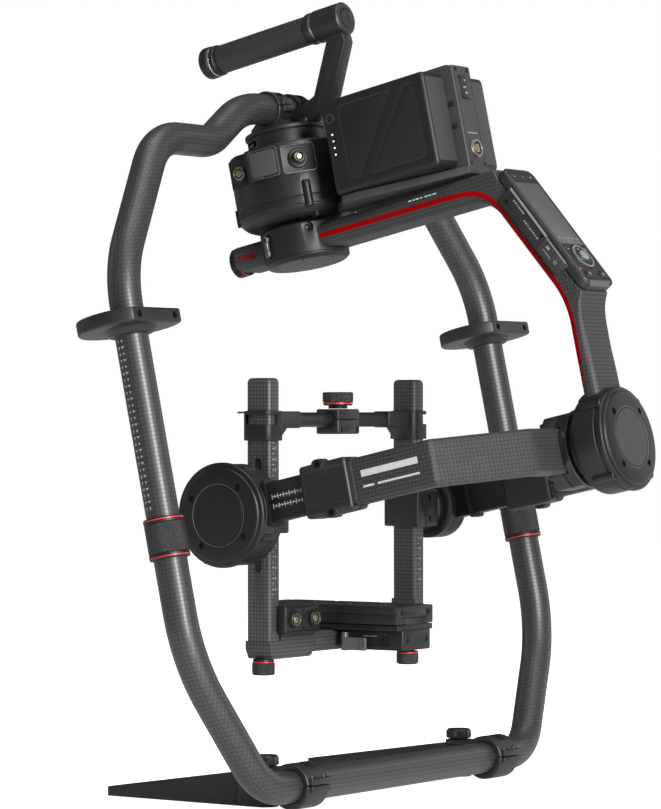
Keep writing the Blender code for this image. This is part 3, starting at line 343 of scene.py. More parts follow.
def lathe(profile, axis="z", centre=(0, 0), segs=96, start=0.0, sweep=360.0, rnd=0.5, n=3):
    if rnd:
        profile = smooth_profile(profile, rnd, n)
    bm = bmesh.new()
    uv = uvl(bm)
    full = abs(sweep - 360) < 1e-6
    count = segs if full else segs + 1
    rings, dist = [], [0.0]
    for (r0, h0), (r1, h1) in zip(profile, profile[1:]):
        dist.append(dist[-1] + math.hypot(r1 - r0, h1 - h0))
    rmax = max(r for r, _ in profile)
    for r, h in profile:
        if r < 1e-6:
            rings.append([bm.verts.new(to3(axis, centre[0], centre[1], h))])
            continue
        ring = []
        for i in range(count):
            t = math.radians(start + sweep * i / segs)
            ring.append(bm.verts.new(to3(axis, centre[0] + r * math.cos(t), centre[1] + r * math.sin(t), h)))
        rings.append(ring)
    solid = profile[0][0] < 1e-6 and profile[-1][0] < 1e-6
    pairs = [(k, k + 1) for k in range(len(rings) - 1)] + ([] if solid else [(len(rings) - 1, 0)])
    step = math.radians(sweep) * rmax / segs
    for ka, kb in pairs:
        lo, hi = rings[ka], rings[kb]
        va = dist[ka]
        vb = dist[kb] if kb else dist[ka] + 1
        for i in (range(count) if full else range(count - 1)):
            j = (i + 1) % count
            u0, u1 = i * step, (i + 1) * step
            if len(lo) == 1 and len(hi) == 1:
                continue
            if len(lo) == 1:
                quad(bm, uv, (lo[0], hi[i], hi[j]), ((u0, va), (u0, vb), (u1, vb)))
            elif len(hi) == 1:
                quad(bm, uv, (lo[i], lo[j], hi[0]), ((u0, va), (u1, va), (u0, vb)))
            else:
                quad(bm, uv, (lo[i], lo[j], hi[j], hi[i]), ((u0, va), (u1, va), (u1, vb), (u0, vb)))
    if not full:
        for k in (0, count - 1):
            bm.faces.new([ring[k] for ring in rings])
    return bm


def cyl(r, lo, hi, axis="z", centre=(0, 0), segs=48, rnd=0.0):
    return lathe([(0, lo), (r, lo), (r, hi), (0, hi)], axis, centre, segs, rnd=rnd)


def prism(outline, lo, hi, axis="z", bevel=0.0, segs=3, angle=20):
    bm = bmesh.new()
    uvl(bm)
    base = bm.faces.new([bm.verts.new(to3(axis, a, b, lo)) for a, b in outline])
    out = bmesh.ops.extrude_face_region(bm, geom=[base])
    moved = [v for v in out["geom"] if isinstance(v, bmesh.types.BMVert)]
    bmesh.ops.translate(bm, verts=moved, vec=Vector(to3(axis, 0, 0, hi - lo)))
    bmesh.ops.recalc_face_normals(bm, faces=bm.faces)
    if bevel:
        sharp = [e for e in bm.edges if e.calc_face_angle(0) > math.radians(angle)]
        bmesh.ops.bevel(bm, geom=sharp, offset=bevel, segments=segs, profile=0.5, affect="EDGES", clamp_overlap=True)
    return bm


def box(lo, hi, bevel=0.0, segs=3):
    return prism([(lo[0], lo[1]), (hi[0], lo[1]), (hi[0], hi[1]), (lo[0], hi[1])], lo[2], hi[2], "z", bevel, segs)


def rounded(w, h, r, n=5, c=(0, 0)):
    pts = []
    for k, (sx, sy) in enumerate(((1, 1), (-1, 1), (-1, -1), (1, -1))):
        for i in range(n + 1):
            t = math.radians(90 * k + 90 * i / n)
            pts.append((c[0] + sx * (w / 2 - r) + r * math.cos(t), c[1] + sy * (h / 2 - r) + r * math.sin(t)))
    return pts


def circle(r, n, c=(0, 0)):
    return [(c[0] + r * math.cos(2 * math.pi * i / n), c[1] + r * math.sin(2 * math.pi * i / n)) for i in range(n)]


def filleted(corners, radii, turn=3.0):
    out = []
    last = len(corners) - 1
    for i, p in enumerate(corners):
        p = Vector(p)
        if i in (0, last):
            q = Vector(corners[1 if i == 0 else last - 1])
            t = (q - p) if i == 0 else (p - q)
            out.append((p, t.normalized()))
            continue
        a = (p - Vector(corners[i - 1])).normalized()
        b = (Vector(corners[i + 1]) - p).normalized()
        ang = a.angle(b)
        cut = radii[i] * math.tan(ang / 2)
        side = 1 if a.x * b.y - a.y * b.x > 0 else -1
        normal = Vector((-a.y, a.x)) * side
        centre = p - a * cut + normal * radii[i]
        n = max(3, round(math.degrees(ang) / turn))
        for k in range(n + 1):
            t = ang * k / n
            tangent = a * math.cos(t) + normal * math.sin(t)
            radial = normal * math.cos(t) - a * math.sin(t)
            out.append((centre - radial * radii[i], tangent))
    return out


def dense(stations, step=12.0):
    """Add stations on long straight runs."""
    out = [stations[0]]
    for (p0, t0), (p1, t1) in zip(stations, stations[1:]):
        d = (p1 - p0).length
        n = int(d // step)
        for k in range(1, n):
            f = k / n
            out.append((p0.lerp(p1, f), t0.lerp(t1, f).normalized()))
        out.append((p1, t1))
    return out


def sweep(stations, place, outer, inner=None, caps=True):
    bm = bmesh.new()
    uv = uvl(bm)
    loops_out, loops_in, run = [], [], [0.0]
    for k, (p, t) in enumerate(stations):
        sec = outer(k) if callable(outer) else outer
        loops_out.append([bm.verts.new(place(p, t, a, b)) for a, b in sec])
        if inner:
            loops_in.append([bm.verts.new(place(p, t, a, b)) for a, b in inner])
        if k:
            run.append(run[-1] + (p - stations[k - 1][0]).length)
    sec = outer(0) if callable(outer) else outer
    n = len(sec)
    around = [0.0]
    for i in range(n):
        a, b = Vector(sec[i]), Vector(sec[(i + 1) % n])
        around.append(around[-1] + (b - a).length)
    for loops in (loops_out, loops_in):
        for k, (lo, hi) in enumerate(zip(loops, loops[1:])):
            for i in range(n):
                j = (i + 1) % n
                quad(bm, uv, (lo[i], lo[j], hi[j], hi[i]), ((around[i], run[k]), (around[i + 1], run[k]), (around[i + 1], run[k + 1]), (around[i], run[k + 1])))
    if caps:
        for k in (0, len(stations) - 1):
            if inner:
                for i in range(n):
                    j = (i + 1) % n
                    bm.faces.new((loops_out[k][i], loops_out[k][j], loops_in[k][j], loops_in[k][i]))
            else:
                bm.faces.new(loops_out[k])
    return bm


def in_xz(p, t, a, b):
    return (p.x - t.y * b, a, p.y + t.x * b)


def in_yz(p, t, a, b):
    return (a, p.x - t.y * b, p.y + t.x * b)


def in_xy(z):
    def place(p, t, a, b):
        return (p.x - t.y * b, p.y + t.x * b, z + a)
    return place


def turned(bm, az, axis="Z", cent=(0, 0, 0)):
    bmesh.ops.rotate(bm, verts=bm.verts, cent=cent, matrix=Matrix.Rotation(math.radians(az), 3, axis))
    return bm


def stand(bm, at, normal, up=None):
    """Place a mesh drawn about the origin (+Z out of the surface, +Y up) at a point with a normal."""
    n = Vector(normal).normalized()
    u = Vector(up) if up else Vector((0, 0, 1)) if abs(n.z) < 0.9 else Vector((0, 1, 0))
    x = u.cross(n).normalized()
    y = n.cross(x)
    m = Matrix((x, y, n)).transposed().to_4x4()
    bmesh.ops.transform(bm, verts=bm.verts, matrix=Matrix.Translation(Vector(at)) @ m)
    return bm


def join(*bms):
    """Several meshes in one bmesh."""
    out = bmesh.new()
    uvl(out)
    for b in bms:
        me = bpy.data.meshes.new("t")
        bmesh.ops.recalc_face_normals(b, faces=b.faces)
        b.to_mesh(me)
        b.free()
        out.from_mesh(me)
        bpy.data.meshes.remove(me)
    return out


def box_uv(mesh):
    """Millimetre UVs by the face's main direction."""
    uv = mesh.uv_layers.get("UVMap") or mesh.uv_layers.new(name="UVMap")
    for p in mesh.polygons:
        n = p.normal
        a = max(range(3), key=lambda i: abs(n[i]))
        i, j = [(1, 2), (0, 2), (0, 1)][a]
        for li in p.loop_indices:
            co = mesh.vertices[mesh.loops[li].vertex_index].co
            uv.data[li].uv = (co[i], co[j])
    mesh.uv_layers.active = uv
    uv.active_render = True


NAMES = set()


def raw_object(bm, name="tmp"):
    bmesh.ops.recalc_face_normals(bm, faces=bm.faces)
    me = bpy.data.meshes.new(name)
    bm.to_mesh(me)
    bm.free()
    ob = bpy.data.objects.new(name, me)
    bpy.context.scene.collection.objects.link(ob)
    return ob


def baked(ob):
    bpy.context.view_layer.update()
    dg = bpy.context.evaluated_depsgraph_get()
    me = bpy.data.meshes.new_from_object(ob.evaluated_get(dg), preserve_all_data_layers=True, depsgraph=dg)
    ob.modifiers.clear()
    ob.data = me


def solid(bm, ops=(), edge=0.0, edge_segs=2, angle=30):
    """Cut and join with other meshes, then soften the edges that are left."""
    ob = raw_object(bm)
    for op, tool_bm in ops:
        tool = raw_object(tool_bm, "tool")
        mod = ob.modifiers.new("b", "BOOLEAN")
        mod.operation = "DIFFERENCE" if op == "-" else "UNION"
        mod.solver = "EXACT"
        mod.object = tool
        baked(ob)
        bpy.data.objects.remove(tool)
    if edge:
        wd = ob.modifiers.new("w", "WELD")
        wd.merge_threshold = 0.01
        bv = ob.modifiers.new("e", "BEVEL")
        bv.width = edge
        bv.segments = edge_segs
        bv.limit_method = "ANGLE"
        bv.angle_limit = math.radians(angle)
        bv.use_clamp_overlap = True
        baked(ob)
    return ob


def piece(name, src, mat, body, fr="L", nodes=(), sharp=32, uvbox=False):
    """Finish a piece: from a bmesh or a working object in millimetres to a named piece that rides on a body."""
    ob = src if isinstance(src, bpy.types.Object) else raw_object(src)
    assert name not in NAMES, name
    NAMES.add(name)
    ob.name = name
    me = ob.data
    me.name = name
    if uvbox or not me.uv_layers.get("UVMap"):
        box_uv(me)
    me.transform(FRAMES[fr])
    me.materials.clear()
    me.materials.append(MT[mat])
    for p in me.polygons:
        p.material_index = 0
    me.shade_smooth()
    me.set_sharp_from_angle(angle=math.radians(sharp))
    me.update()
    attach(ob, body)
    if nodes:
        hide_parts(*([nodes] if isinstance(nodes, str) else nodes))
    return ob


def screw_head(r=2.4, h=1.2, sock=1.2):
    """Cap screw with a hex socket, standing on z = 0."""
    bm = bmesh.new()
    uvl(bm)
    n = 24
    hexr = lambda t: sock / math.cos((t + math.pi / 6) % (math.pi / 3) - math.pi / 6)
    levels = [(r, -0.6), (r, h * 0.8), (r * 0.9, h)]
    loops = []
    for rr, z in levels:
        loops.append([bm.verts.new((rr * math.cos(2 * math.pi * i / n), rr * math.sin(2 * math.pi * i / n), z)) for i in range(n)])
    for z in (h, h * 0.25):
        loops.append([bm.verts.new((hexr(2 * math.pi * i / n) * math.cos(2 * math.pi * i / n), hexr(2 * math.pi * i / n) * math.sin(2 * math.pi * i / n), z)) for i in range(n)])
    for lo, hi in zip(loops, loops[1:]):
        for i in range(n):
            j = (i + 1) % n
            bm.faces.new((lo[i], lo[j], hi[j], hi[i]))
    bm.faces.new(loops[0])
    bm.faces.new(loops[-1])
    return bm


def screws(name, places, body, fr="L", r=2.4, h=1.2, sock=1.2, mat="screw"):
    """places: (point, normal) pairs."""
    return piece(name, join(*[stand(screw_head(r, h, sock), p, n) for p, n in places]), mat, body, fr)


def ridged(r, depth, count, lo, hi, axis="z", centre=(0, 0), r_in=0.0):
    """Grip ring with real grooves round it."""
    pts = []
    for i in range(count):
        t0 = 2 * math.pi * i / count
        d = 2 * math.pi / count
        pts += [(t0, r), (t0 + d * 0.45, r), (t0 + d * 0.6, r - depth), (t0 + d * 0.85, r - depth)]
    bm = bmesh.new()
    uv = uvl(bm)
    ch = min(0.7, (hi - lo) * 0.2)
    prof = [(lo, -ch), (lo + ch, 0), (hi - ch, 0), (hi, -ch)]
    loops = [[bm.verts.new(to3(axis, centre[0] + (rr + dr) * math.cos(t), centre[1] + (rr + dr) * math.sin(t), h)) for t, rr in pts] for h, dr in prof]
    n = len(pts)
    for k, (a, b) in enumerate(zip(loops, loops[1:])):
        for i in range(n):
            j = (i + 1) % n
            quad(bm, uv, (a[i], a[j], b[j], b[i]), ((i, k), (i + 1, k), (i + 1, k + 1), (i, k + 1)))
    bm.faces.new(loops[0])
    bm.faces.new(loops[-1])
    return bm


def diag(s, o):
    return (DIAG_0[0] + DIAG_D[0] * s + DIAG_N[0] * o, DIAG_0[1] + DIAG_D[1] * s + DIAG_N[1] * o)


def patch(r, az0, az1, z0, z1, centre=(0, 0), th=0.12, n=4):
    """A thin curved mark lying on an upright cylinder."""
    bm = bmesh.new()
    uvl(bm)
    outer = []
    for z in (z0, z1):
        for rr in (r - 0.05, r + th):
            outer.append([bm.verts.new((centre[0] + rr * math.cos(math.radians(az0 + (az1 - az0) * i / n)), centre[1] + rr * math.sin(math.radians(az0 + (az1 - az0) * i / n)), z)) for i in range(n + 1)])
    a, b, c, d = outer
    for i in range(n):
        bm.faces.new((b[i], b[i + 1], d[i + 1], d[i]))
        bm.faces.new((a[i], c[i], c[i + 1], a[i + 1]))
        bm.faces.new((a[i], a[i + 1], b[i + 1], b[i]))
        bm.faces.new((c[i], d[i], d[i + 1], c[i + 1]))
    bm.faces.new((a[0], b[0], d[0], c[0]))
    bm.faces.new((a[n], c[n], d[n], b[n]))
    return bm


def plate_mark(cx, cy, w, h, th=0.15):
    """A thin printed bar about (cx, cy), standing on z = 0."""
    return box((cx - w / 2, cy - h / 2, -0.05), (cx + w / 2, cy + h / 2, th))


# ------------------------------------------------------------------ ring
RF = "ring_frame"
half_low = [(RING_X, RING_SPLIT - GAP / 2), (RING_X, 120.5), (224.7, 0.0)]
low = half_low + [(-x, z) for x, z in reversed(half_low)]
piece("ring_lower", sweep(dense(filleted(low, [0, 150, 52, 52, 150, 0])), in_xz, circle(TUBE_R, 64), circle(13, 64)), "carbon", RF, "L", "ring_lower_tube")
half_up = [(RING_X, RING_SPLIT + GAP / 2), (RING_X, 474.0), (211.1, 603.0), (128.0, 603.0), (66.0, TOP_Z)]
rad_up = [0, 109, 62, 50, 100]
up = half_up + [(-x, z) for x, z in reversed(half_up)]
piece("ring_upper", sweep(dense(filleted(up, rad_up + rad_up[::-1])), in_xz, circle(TUBE_R, 64), circle(13, 64)), "carbon", RF, "L", "ring_upper_tube")

for side, sx in SIDES:
    x = sx * RING_X
    cl = f"collar_{side}"
    zl, zh = COLLAR_LO, COLLAR_HI
    prof = [(15.4, zl), (17.2, zl), (18.3, zl + 0.8), (18.3, zl + 4.6), (17.5, zl + 5.0), (17.5, zh - 5.0), (18.3, zh - 4.6), (18.3, zh - 0.8), (17.2, zh), (15.4, zh)]
    piece(f"collar_body_{side}", lathe(prof, "z", (x, 0), 96, rnd=0.3), "anodised", cl, "L", f"lock_collar_{side}")
    piece(f"collar_knurl_{side}", lathe([(17.3, zl + 5.3), (18.15, zl + 5.6), (18.15, zh - 5.6), (17.3, zh - 5.3)], "z", (x, 0), 128, rnd=0.25), "knurl", cl)
    piece(f"collar_rings_{side}", join(*[lathe([(17.6, z0), (18.42, z0 + 0.1), (18.42, z0 + 1.0), (17.6, z0 + 1.1)], "z", (x, 0), 96, rnd=0.1) for z0 in (zl + 1.4, zh - 2.5)]), "red_ring", cl)
    # scale printed on the outer face of the tube
    az = 168 if sx < 0 else 12
    marks = []
    for i in range(0, 28):
        z = 416 - i * 5.8
        wide = i % 2 == 0
        for k, da in enumerate((-9, 9)):
            w = 5.6 if wide else 3.2
            marks.append(patch(TUBE_R, az + da - w, az + da + w, z - 0.35, z + 0.35, (x, 0)))
            marks.append(patch(TUBE_R, az + da - 0.9, az + da + 0.9, z - 1.7, z + 0.35, (x, 0), n=2))
    piece(f"ring_scale_{side}", join(*marks), "white", RF)

    # hand guard
    a0 = math.acos(GUARD_FLAT / GUARD_R)
    outline = [(x + GUARD_R * math.cos(t), GUARD_R * math.sin(t)) for t in [-math.pi / 2 + a0 + (2 * math.pi - 2 * a0) * i / 96 for i in range(97)]]
    zb, zt = GUARD_Z - GUARD_T / 2, GUARD_Z + GUARD_T / 2
    ops = [("+", lathe([(0, zb - 6), (19, zb - 6), (20, zb - 5.2), (25, zb + 1), (0, zb + 2)], "z", (x, 0), 64, rnd=0.5)),
           ("-", cyl(TUBE_R + 0.45, zb - 9, zt + 3, "z", (x, 0), 64))]
    for hx in (-25.7, 25.7):
        ops.append(("-", lathe([(0, -GUARD_FLAT - 2), (3.3, -GUARD_FLAT - 2), (3.3, -GUARD_FLAT + 3.5), (1.8, -GUARD_FLAT + 3.5), (1.8, -GUARD_FLAT + 12), (0, -GUARD_FLAT + 12)], "y", (x + hx, GUARD_Z), 32, rnd=0)))
    # seam between the front and back halves
    ops.append(("-", join(box((x - 60, 15.4, zb - 1), (x - GUARD_R + 9.5, 16.0, zt + 1)), box((x + GUARD_R - 9.5, 15.4, zb - 1), (x + 60, 16.0, zt + 1)))))
    piece(f"guard_{side}", solid(prism(outline, zb, zt, "z", 1.9, 4), ops), "satin", RF, "L", f"grip_guard_{side}")
    screws(f"guard_screws_{side}", [((x + 23.2 * math.cos(math.radians(a)), 23.2 * math.sin(math.radians(a)), zb + 0.4), (0.25 * math.cos(math.radians(a)), 0.25 * math.sin(math.radians(a)), -1)) for a in (205, 335, 100)], RF, "L", 1.7, 0.9, 0.85)
    screws(f"guard_bolts_{side}", [((x + hx, -GUARD_FLAT + 3.2, GUARD_Z), (0, -1, 0)) for hx in (-25.7, 25.7)], RF, "L", 2.9, 1.5, 1.4)
    piece(f"guard_collar_{side}", lathe([(15.1, zt), (17.6, zt), (17.6, zt + 1.0), (16.4, zt + 1.9), (15.1, zt + 1.9)], "z", (x, 0), 80, rnd=0.3), "rubber", RF)

foot = [(-20, DRUM_HI + GAP), (20, DRUM_HI + GAP), (20, 625.4), (13.5, 630), (9, 627.6), (0, 624.5), (-9, 627.6), (-13.5, 630), (-20, 625.4)]
for side, lo, hi in (("left", -28.0, -8.0), ("right", 8.0, 28.0)):
    m = (lo + hi) / 2
    ops = [("+", prism(foot, lo + 0.5, hi - 0.5, "x", 0.4, 2)),
           ("+", box((lo + 3, -21.6, TOP_Z - 6), (hi - 3, -15.8, TOP_Z + 6.4), 0.8)), ("+", box((lo + 3, 15.8, TOP_Z - 6), (hi - 3, 21.6, TOP_Z + 6.4), 0.8)),
           ("-", box((lo - 2, -24, TOP_Z - 0.1), (hi + 2, -12, TOP_Z + 0.9))), ("-", box((lo - 2, 12, TOP_Z - 0.1), (hi + 2, 24, TOP_Z + 0.9))),
           ("-", cyl(6.2, TOP_Z + 10.5, TOP_Z + 24, "z", (m, -9), 32)), ("-", cyl(4.4, TOP_Z + 8, TOP_Z + 24, "z", (m, 9), 32))]
    piece(f"top_clamp_{side}_body", solid(lathe([(15.5, lo), (17.2, lo), (18, lo + 0.8), (18, hi - 0.8), (17.2, hi), (15.5, hi)], "x", (0, TOP_Z), 80), ops, 0.3), "satin", RF, "L", f"top_clamp_{side}")
    screws(f"top_clamp_screws_{side}", [((m, -18.7, TOP_Z + 6.4), (0, 0, 1)), ((m, 18.7, TOP_Z + 6.4), (0, 0, 1)), ((m, -9, TOP_Z + 10.2), (0, -0.1, 1))], RF, "L", 2.2, 1.5, 1.1)

# ------------------------------------------------------------------ pan base
prof = [(0, PAN_HI + GAP), (DRUM_R, PAN_HI + GAP), (DRUM_R, 616.4), (36.6, 616.6), (36.6, 617.2), (39, 617.4), (39, 620.7), (38.2, DRUM_HI), (0, DRUM_HI)]
ops = [("-", turned(box((30, -11, 604.5), (60, 11, 613.5), 1.0), 146))]
for az in range(15, 375, 60):
    ops.append(("-", cyl(2.4, 619.5, 630, "z", (34.5 * math.cos(math.radians(az)), 34.5 * math.sin(math.radians(az))), 20)))
piece("pan_drum", solid(lathe(prof, "z", (0, 0), 128, rnd=0.4), ops), "anodised", RF, "L", "pan_top_drum")
piece("pan_drum_slot", turned(join(box((31, -10, 605.2), (35.2, 10, 608.2), 0.6), box((31, -10, 609.6), (35.2, 2, 612.8), 0.6)), 146), "steel", RF)
screws("pan_drum_screws", [((34.5 * math.cos(math.radians(a)), 34.5 * math.sin(math.radians(a)), 619.6), (0, 0, 1)) for a in range(15, 375, 60)], RF, "L", 2.0, 1.1, 1.0)

pan = [(0, PAN_LO), (44, PAN_LO), (47, PAN_LO + 0.3), (52, PAN_LO + 2.6), (55.6, PAN_LO + 6), (57.4, PAN_LO + 8.6), (57.4, PAN_LO + 9.6), (PAN_R, PAN_LO + 10.6), (PAN_R, 546.6), (57.7, 546.8), (57.7, 547.6),
       (PAN_R, 547.8), (PAN_R, 569.6), (PAN_R, 599.2), (57.2, PAN_HI), (0, PAN_HI)]
ops = [("+", box((-50, 10, 569), (-20, 37.5, 597), 0.8)), ("-", box((-90, 12.5, 569.02), (-50.02, 70, 620), 1.2))]
# port panel on the operator's side: recessed flat with a round-cornered frame
ops.append(("-", turned(prism(rounded(33, 27.5, 3.5, 5, (0, 583)), 53.4, 90, "x"), 222)))
# rubber cover's frame
ops.append(("-", turned(prism(rounded(31, 29.5, 3.0, 5, (0, 584)), 57.0, 90, "x"), 188)))
ops.append(("-", turned(lathe([(0, 534), (4.4, 534), (4.4, 559.4), (3.2, 561.4), (0, 561.4)], "z", (59.2, 0), 24, rnd=0.6), 224.5)))
ops.append(("+", turned(box((55, -4.5, 537), (60.4, 4.5, 553), 1.2), 124)))
ops.append(("-", turned(box((52, -26, 560.2), (70, 26, 560.8)), 270)))
piece("pan_housing", solid(lathe(pan, "z", (0, 0), 160, rnd=0.5), ops, 0.35), "anodised", RF, "L", "pan_motor_housing")
piece("pan_rib", turned(lathe([(0, 535), (3.0, 535), (4.0, 536.5), (4.0, 558.6), (2.8, 560.8), (0, 561.2)], "z", (58.1, 0), 32, rnd=0.6), 224.5), "anodised", RF)
piece("pan_seams", join(lathe([(57.2, 540.9), (58.62, 541.0), (58.62, 541.35), (57.2, 541.4)], "z", (0, 0), 128, rnd=0), lathe([(57.2, 544.1), (58.62, 544.1), (58.62, 544.4), (57.2, 544.5)], "z", (0, 0), 128, rnd=0)), "joint_black_and_painted_shade", RF)
def frame_bm(w, h, r, wide, x0, x1, z):
    """A rounded rectangular frame standing out along +X."""
    ob = solid(prism(rounded(w, h, r, 8, (0, z)), x0, x1, "x", 0.25, 2), [("-", prism(rounded(w - 2 * wide, h - 2 * wide, max(0.6, r - wide), 8, (0, z)), x0 - 2, x1 + 2, "x"))])
    bm = bmesh.new()
    bm.from_mesh(ob.data)
    bpy.data.objects.remove(ob)
    return bm


# grey frames round the port panel and the rubber cover: painted edge highlights
piece("port_frame_highlight", turned(frame_bm(33.0, 27.4, 3.5, 0.9, 54.5, 57.3, 583), 222), "edge", RF)
piece("cover_frame_highlight", turned(frame_bm(31.0, 28.6, 3.0, 0.9, 56.6, 59.0, 584), 188), "edge", RF)
cov = prism(rounded(27, 24.5, 2.6, 5, (0, 584)), 56.6, 60.3, "x", 0.7, 3)
piece("port_cover_pad", turned(cov, 188), "rib_rubber", RF, "L", "port_cover", uvbox=True)
piece("port_cover_tab", turned(box((58.6, -12.5, 569.4), (60.6, -2, 571.6), 0.5), 188), "rubber", RF)


def socket(r, depth, name, at, normal, fr="L", body=RF, mat="nickel"):
    """Round multi-pin port: shell, dark throat, core and pins."""
    shell = lathe([(r * 0.72, -0.5), (r, -0.5), (r, depth * 0.55), (r * 0.93, depth * 0.62), (r * 0.93, depth), (r * 0.72, depth)], "z", (0, 0), 48, rnd=0.2)
    piece(name + "_shell", stand(shell, at, normal), mat, body, fr)
    piece(name + "_throat", stand(cyl(r * 0.735, -0.5, depth * 0.45, "z", (0, 0), 40), at, normal), "joint_black_and_painted_shade", body, fr)
    core = [lathe([(0, 0), (r * 0.46, 0), (r * 0.46, depth * 0.75), (r * 0.38, depth * 0.82), (0, depth * 0.82)], "z", (0, 0), 32, rnd=0.1)]
    piece(name + "_core", stand(join(*core), at, normal), "brass", body, fr)
    pins = [cyl(r * 0.07, depth * 0.3, depth * 0.95, "z", (r * 0.2 * math.cos(a), r * 0.2 * math.sin(a)), 8) for a in [2 * math.pi * i / 5 for i in range(5)]]
    piece(name + "_pins", stand(join(*pins), at, normal), "steel", body, fr)


def polar(r, az, z):
    return (r * math.cos(math.radians(az)), r * math.sin(math.radians(az)), z)


socket(6.4, 4.6, "port_a", polar(53.4, 222, 583.5), polar(1, 222, 0))
piece("port_a_nut", stand(lathe([(6.5, -0.4), (9.6, -0.4), (9.6, 1.6), (8.6, 2.2), (6.5, 2.2)], "z", (0, 0), 48, rnd=0.3), polar(53.4, 222, 583.5), polar(1, 222, 0)), "anodised", RF)
piece("port_a_plug", stand(lathe([(0, 3.0), (6.0, 3.0), (6.0, 9.4), (4.6, 9.8), (4.2, 9.8), (4.2, 7.8), (0, 7.8)], "z", (0, 0), 40, rnd=0.2), polar(53.4, 222, 583.5), polar(1, 222, 0)), "screw", RF)
piece("port_a_plug_core", stand(lathe([(0, 7.6), (2.6, 7.6), (2.6, 9.2), (2.0, 9.5), (0, 9.5)], "z", (0, 0), 24, rnd=0.1), polar(53.4, 222, 583.5), polar(1, 222, 0)), "brass", RF)
socket(6.6, 2.6, "port_b", (-50.02, 26, 583.5), (-1, 0, 0))
screws("port_screws", [(polar(53.5, 222, 572), polar(1, 222, 0)), ((-50.02, 15.5, 594), (-1, 0, 0)), ((-50.02, 35, 573), (-1, 0, 0))], RF, "L", 1.3, 0.6, 0.6)

# ------------------------------------------------------------------ handle
arm_side = [(-16.5, DRUM_HI + GAP), (-17.5, 632), (-20, 638.5), (-34, 640), (-45, 644.5), (-70, 692), (-70, 709), (-88, 709), (-90.2, 686), (-66.5, 640), (-58, 632), (-36, DRUM_HI + GAP)]
ops = [("+", lathe([(0, -50.5), (14.6, -50.5), (15.4, -51.4), (15.4, -57), (14.4, -57.4), (14.4, -59.6), (16, -60), (16, -90.5), (14.5, -92), (10.5, -92), (10.0, -91.0), (0, -91.0)], "y", (0, HZ), 96, rnd=0.3)),
       ("-", cyl(11.4, -74, -40, "y", (0, HZ), 64))]
piece("handle_arm", solid(prism(arm_side, -7.6, 7.6, "x", 0.9, 3), ops, 0.3), "satin", RF, "L", "handle_bracket")
piece("handle_hooks", join(box((-9.4, -33, 622.2), (-7.4, -24, 626.6), 0.6), box((7.4, -33, 622.2), (9.4, -24, 626.6), 0.6)), "steel", RF)
piece("handle_end", lathe([(0, 57.0), (14.2, 57.0), (14.2, 58.4), (15.2, 59.0), (15.2, 62.4), (14.4, 62.8), (14.4, 65.2), (15.4, 65.6), (15.8, 66.4), (15.8, 72.5), (15.0, 74.6), (13.4, 76.0), (9, 77), (0, 77)], "y", (0, HZ), 96, rnd=0.4), "anodised", RF, "L", "handle_tube")
piece("handle_rings", join(lathe([(14.0, 63.2), (15.0, 63.3), (15.0, 64.7), (14.0, 64.8)], "y", (0, HZ), 96, rnd=0.2), lathe([(14.0, -59.5), (15.0, -59.4), (15.0, -57.7), (14.0, -57.6)], "y", (0, HZ), 96, rnd=0.2)), "silver", RF)
grip_prof = [(11.4, -50.0), (13.0, -50.0), (13.9, -48.8), (14.0, 0), (13.9, 55.6), (13.0, 56.8), (11.4, 56.8)]
piece("handle_foam", lathe(grip_prof, "y", (0, HZ), 96, rnd=0.5), "grip", RF, "L", "handle_grip")
piece("handle_end_disc", lathe([(0, -91.0), (9.8, -91.0), (9.8, -91.5), (7.6, -91.8), (0, -91.4)], "y", (0, HZ), 64, rnd=0.15), "cap", RF)

# ------------------------------------------------------------------ battery bracket and batteries
floor_ = [(-22, -59.2), (22, -59.2), (32, -70), (50, -83), (50, -100), (18, -206), (-18, -206), (-50, -100), (-50, -83), (-32, -70)]
ops = [("+", box((-16, -206, 531), (16, -84, 631), 2.0)), ("-", box((-7, -208, 598.6), (7, -198.5, 621.4))),
       ("+", box((-14.6, -200, 628), (14.6, -90, 632.6), 1.6)),
       ("-", join(box((-13.4, -208, 594), (-12.6, -204.6, 626)), box((12.6, -208, 540), (13.4, -204.6, 626)), box((-13.4, -208, 560), (-12.6, -204.6, 590))))]
piece("bracket_body", solid(prism(floor_, 526.6, 534, "z", 0.9, 3), ops, 0.5, 3), "bracket", RF, "L", "battery_bracket")
piece("bracket_latches", join(box((-17.2, -203, 592), (-15.4, -197, 597), 0.5), box((-17.2, -203, 571), (-15.4, -197, 576), 0.5), box((15.4, -203, 580), (17.2, -197, 585), 0.5)), "joint_black_and_painted_shade", RF)
screws("bracket_screws", [((x, -206, z), (0, -1, 0)) for x, z in ((-10, 627), (10, 627), (-11.5, 537), (11.5, 537))], RF, "L", 1.9, 0.7, 0.9)
socket(9.0, 2.8, "power_port", (0, -206, 551), (0, -1, 0))
piece("power_mark", join(*[stand(plate_mark(dx, 0, w, 1.1), (0, -206, 566), (0, -1, 0)) for dx, w in ((-7.2, 2.2), (-4.2, 2.2), (-1.4, 1.8), (1.4, 2.2), (4.6, 2.6), (7.4, 1.6))]), "grey_print", RF)
sw = solid(prism([(-208, 599), (-206.4, 610), (-208, 621), (-202, 621), (-202, 599)], -6.6, 6.6, "x", 0.35, 2))
piece("switch_rocker", sw, "plastic", "power_switch", "L", "power_switch")
piece("switch_marks", join(stand(join(plate_mark(0, 0, 0.7, 2.6)), (0, -207.4, 616.5), (0, -1, 0.14)), stand(plate_mark(0, 0, 4.0, 0.8), (0, -206.5, 610), (0, -1, 0)), stand(lathe([(0.9, -0.05), (1.5, -0.05), (1.5, 0.15), (0.9, 0.15)], "z", (0, 0), 20, rnd=0), (0, -207.3, 603.6), (0, -1, -0.14))), "white", "power_switch")
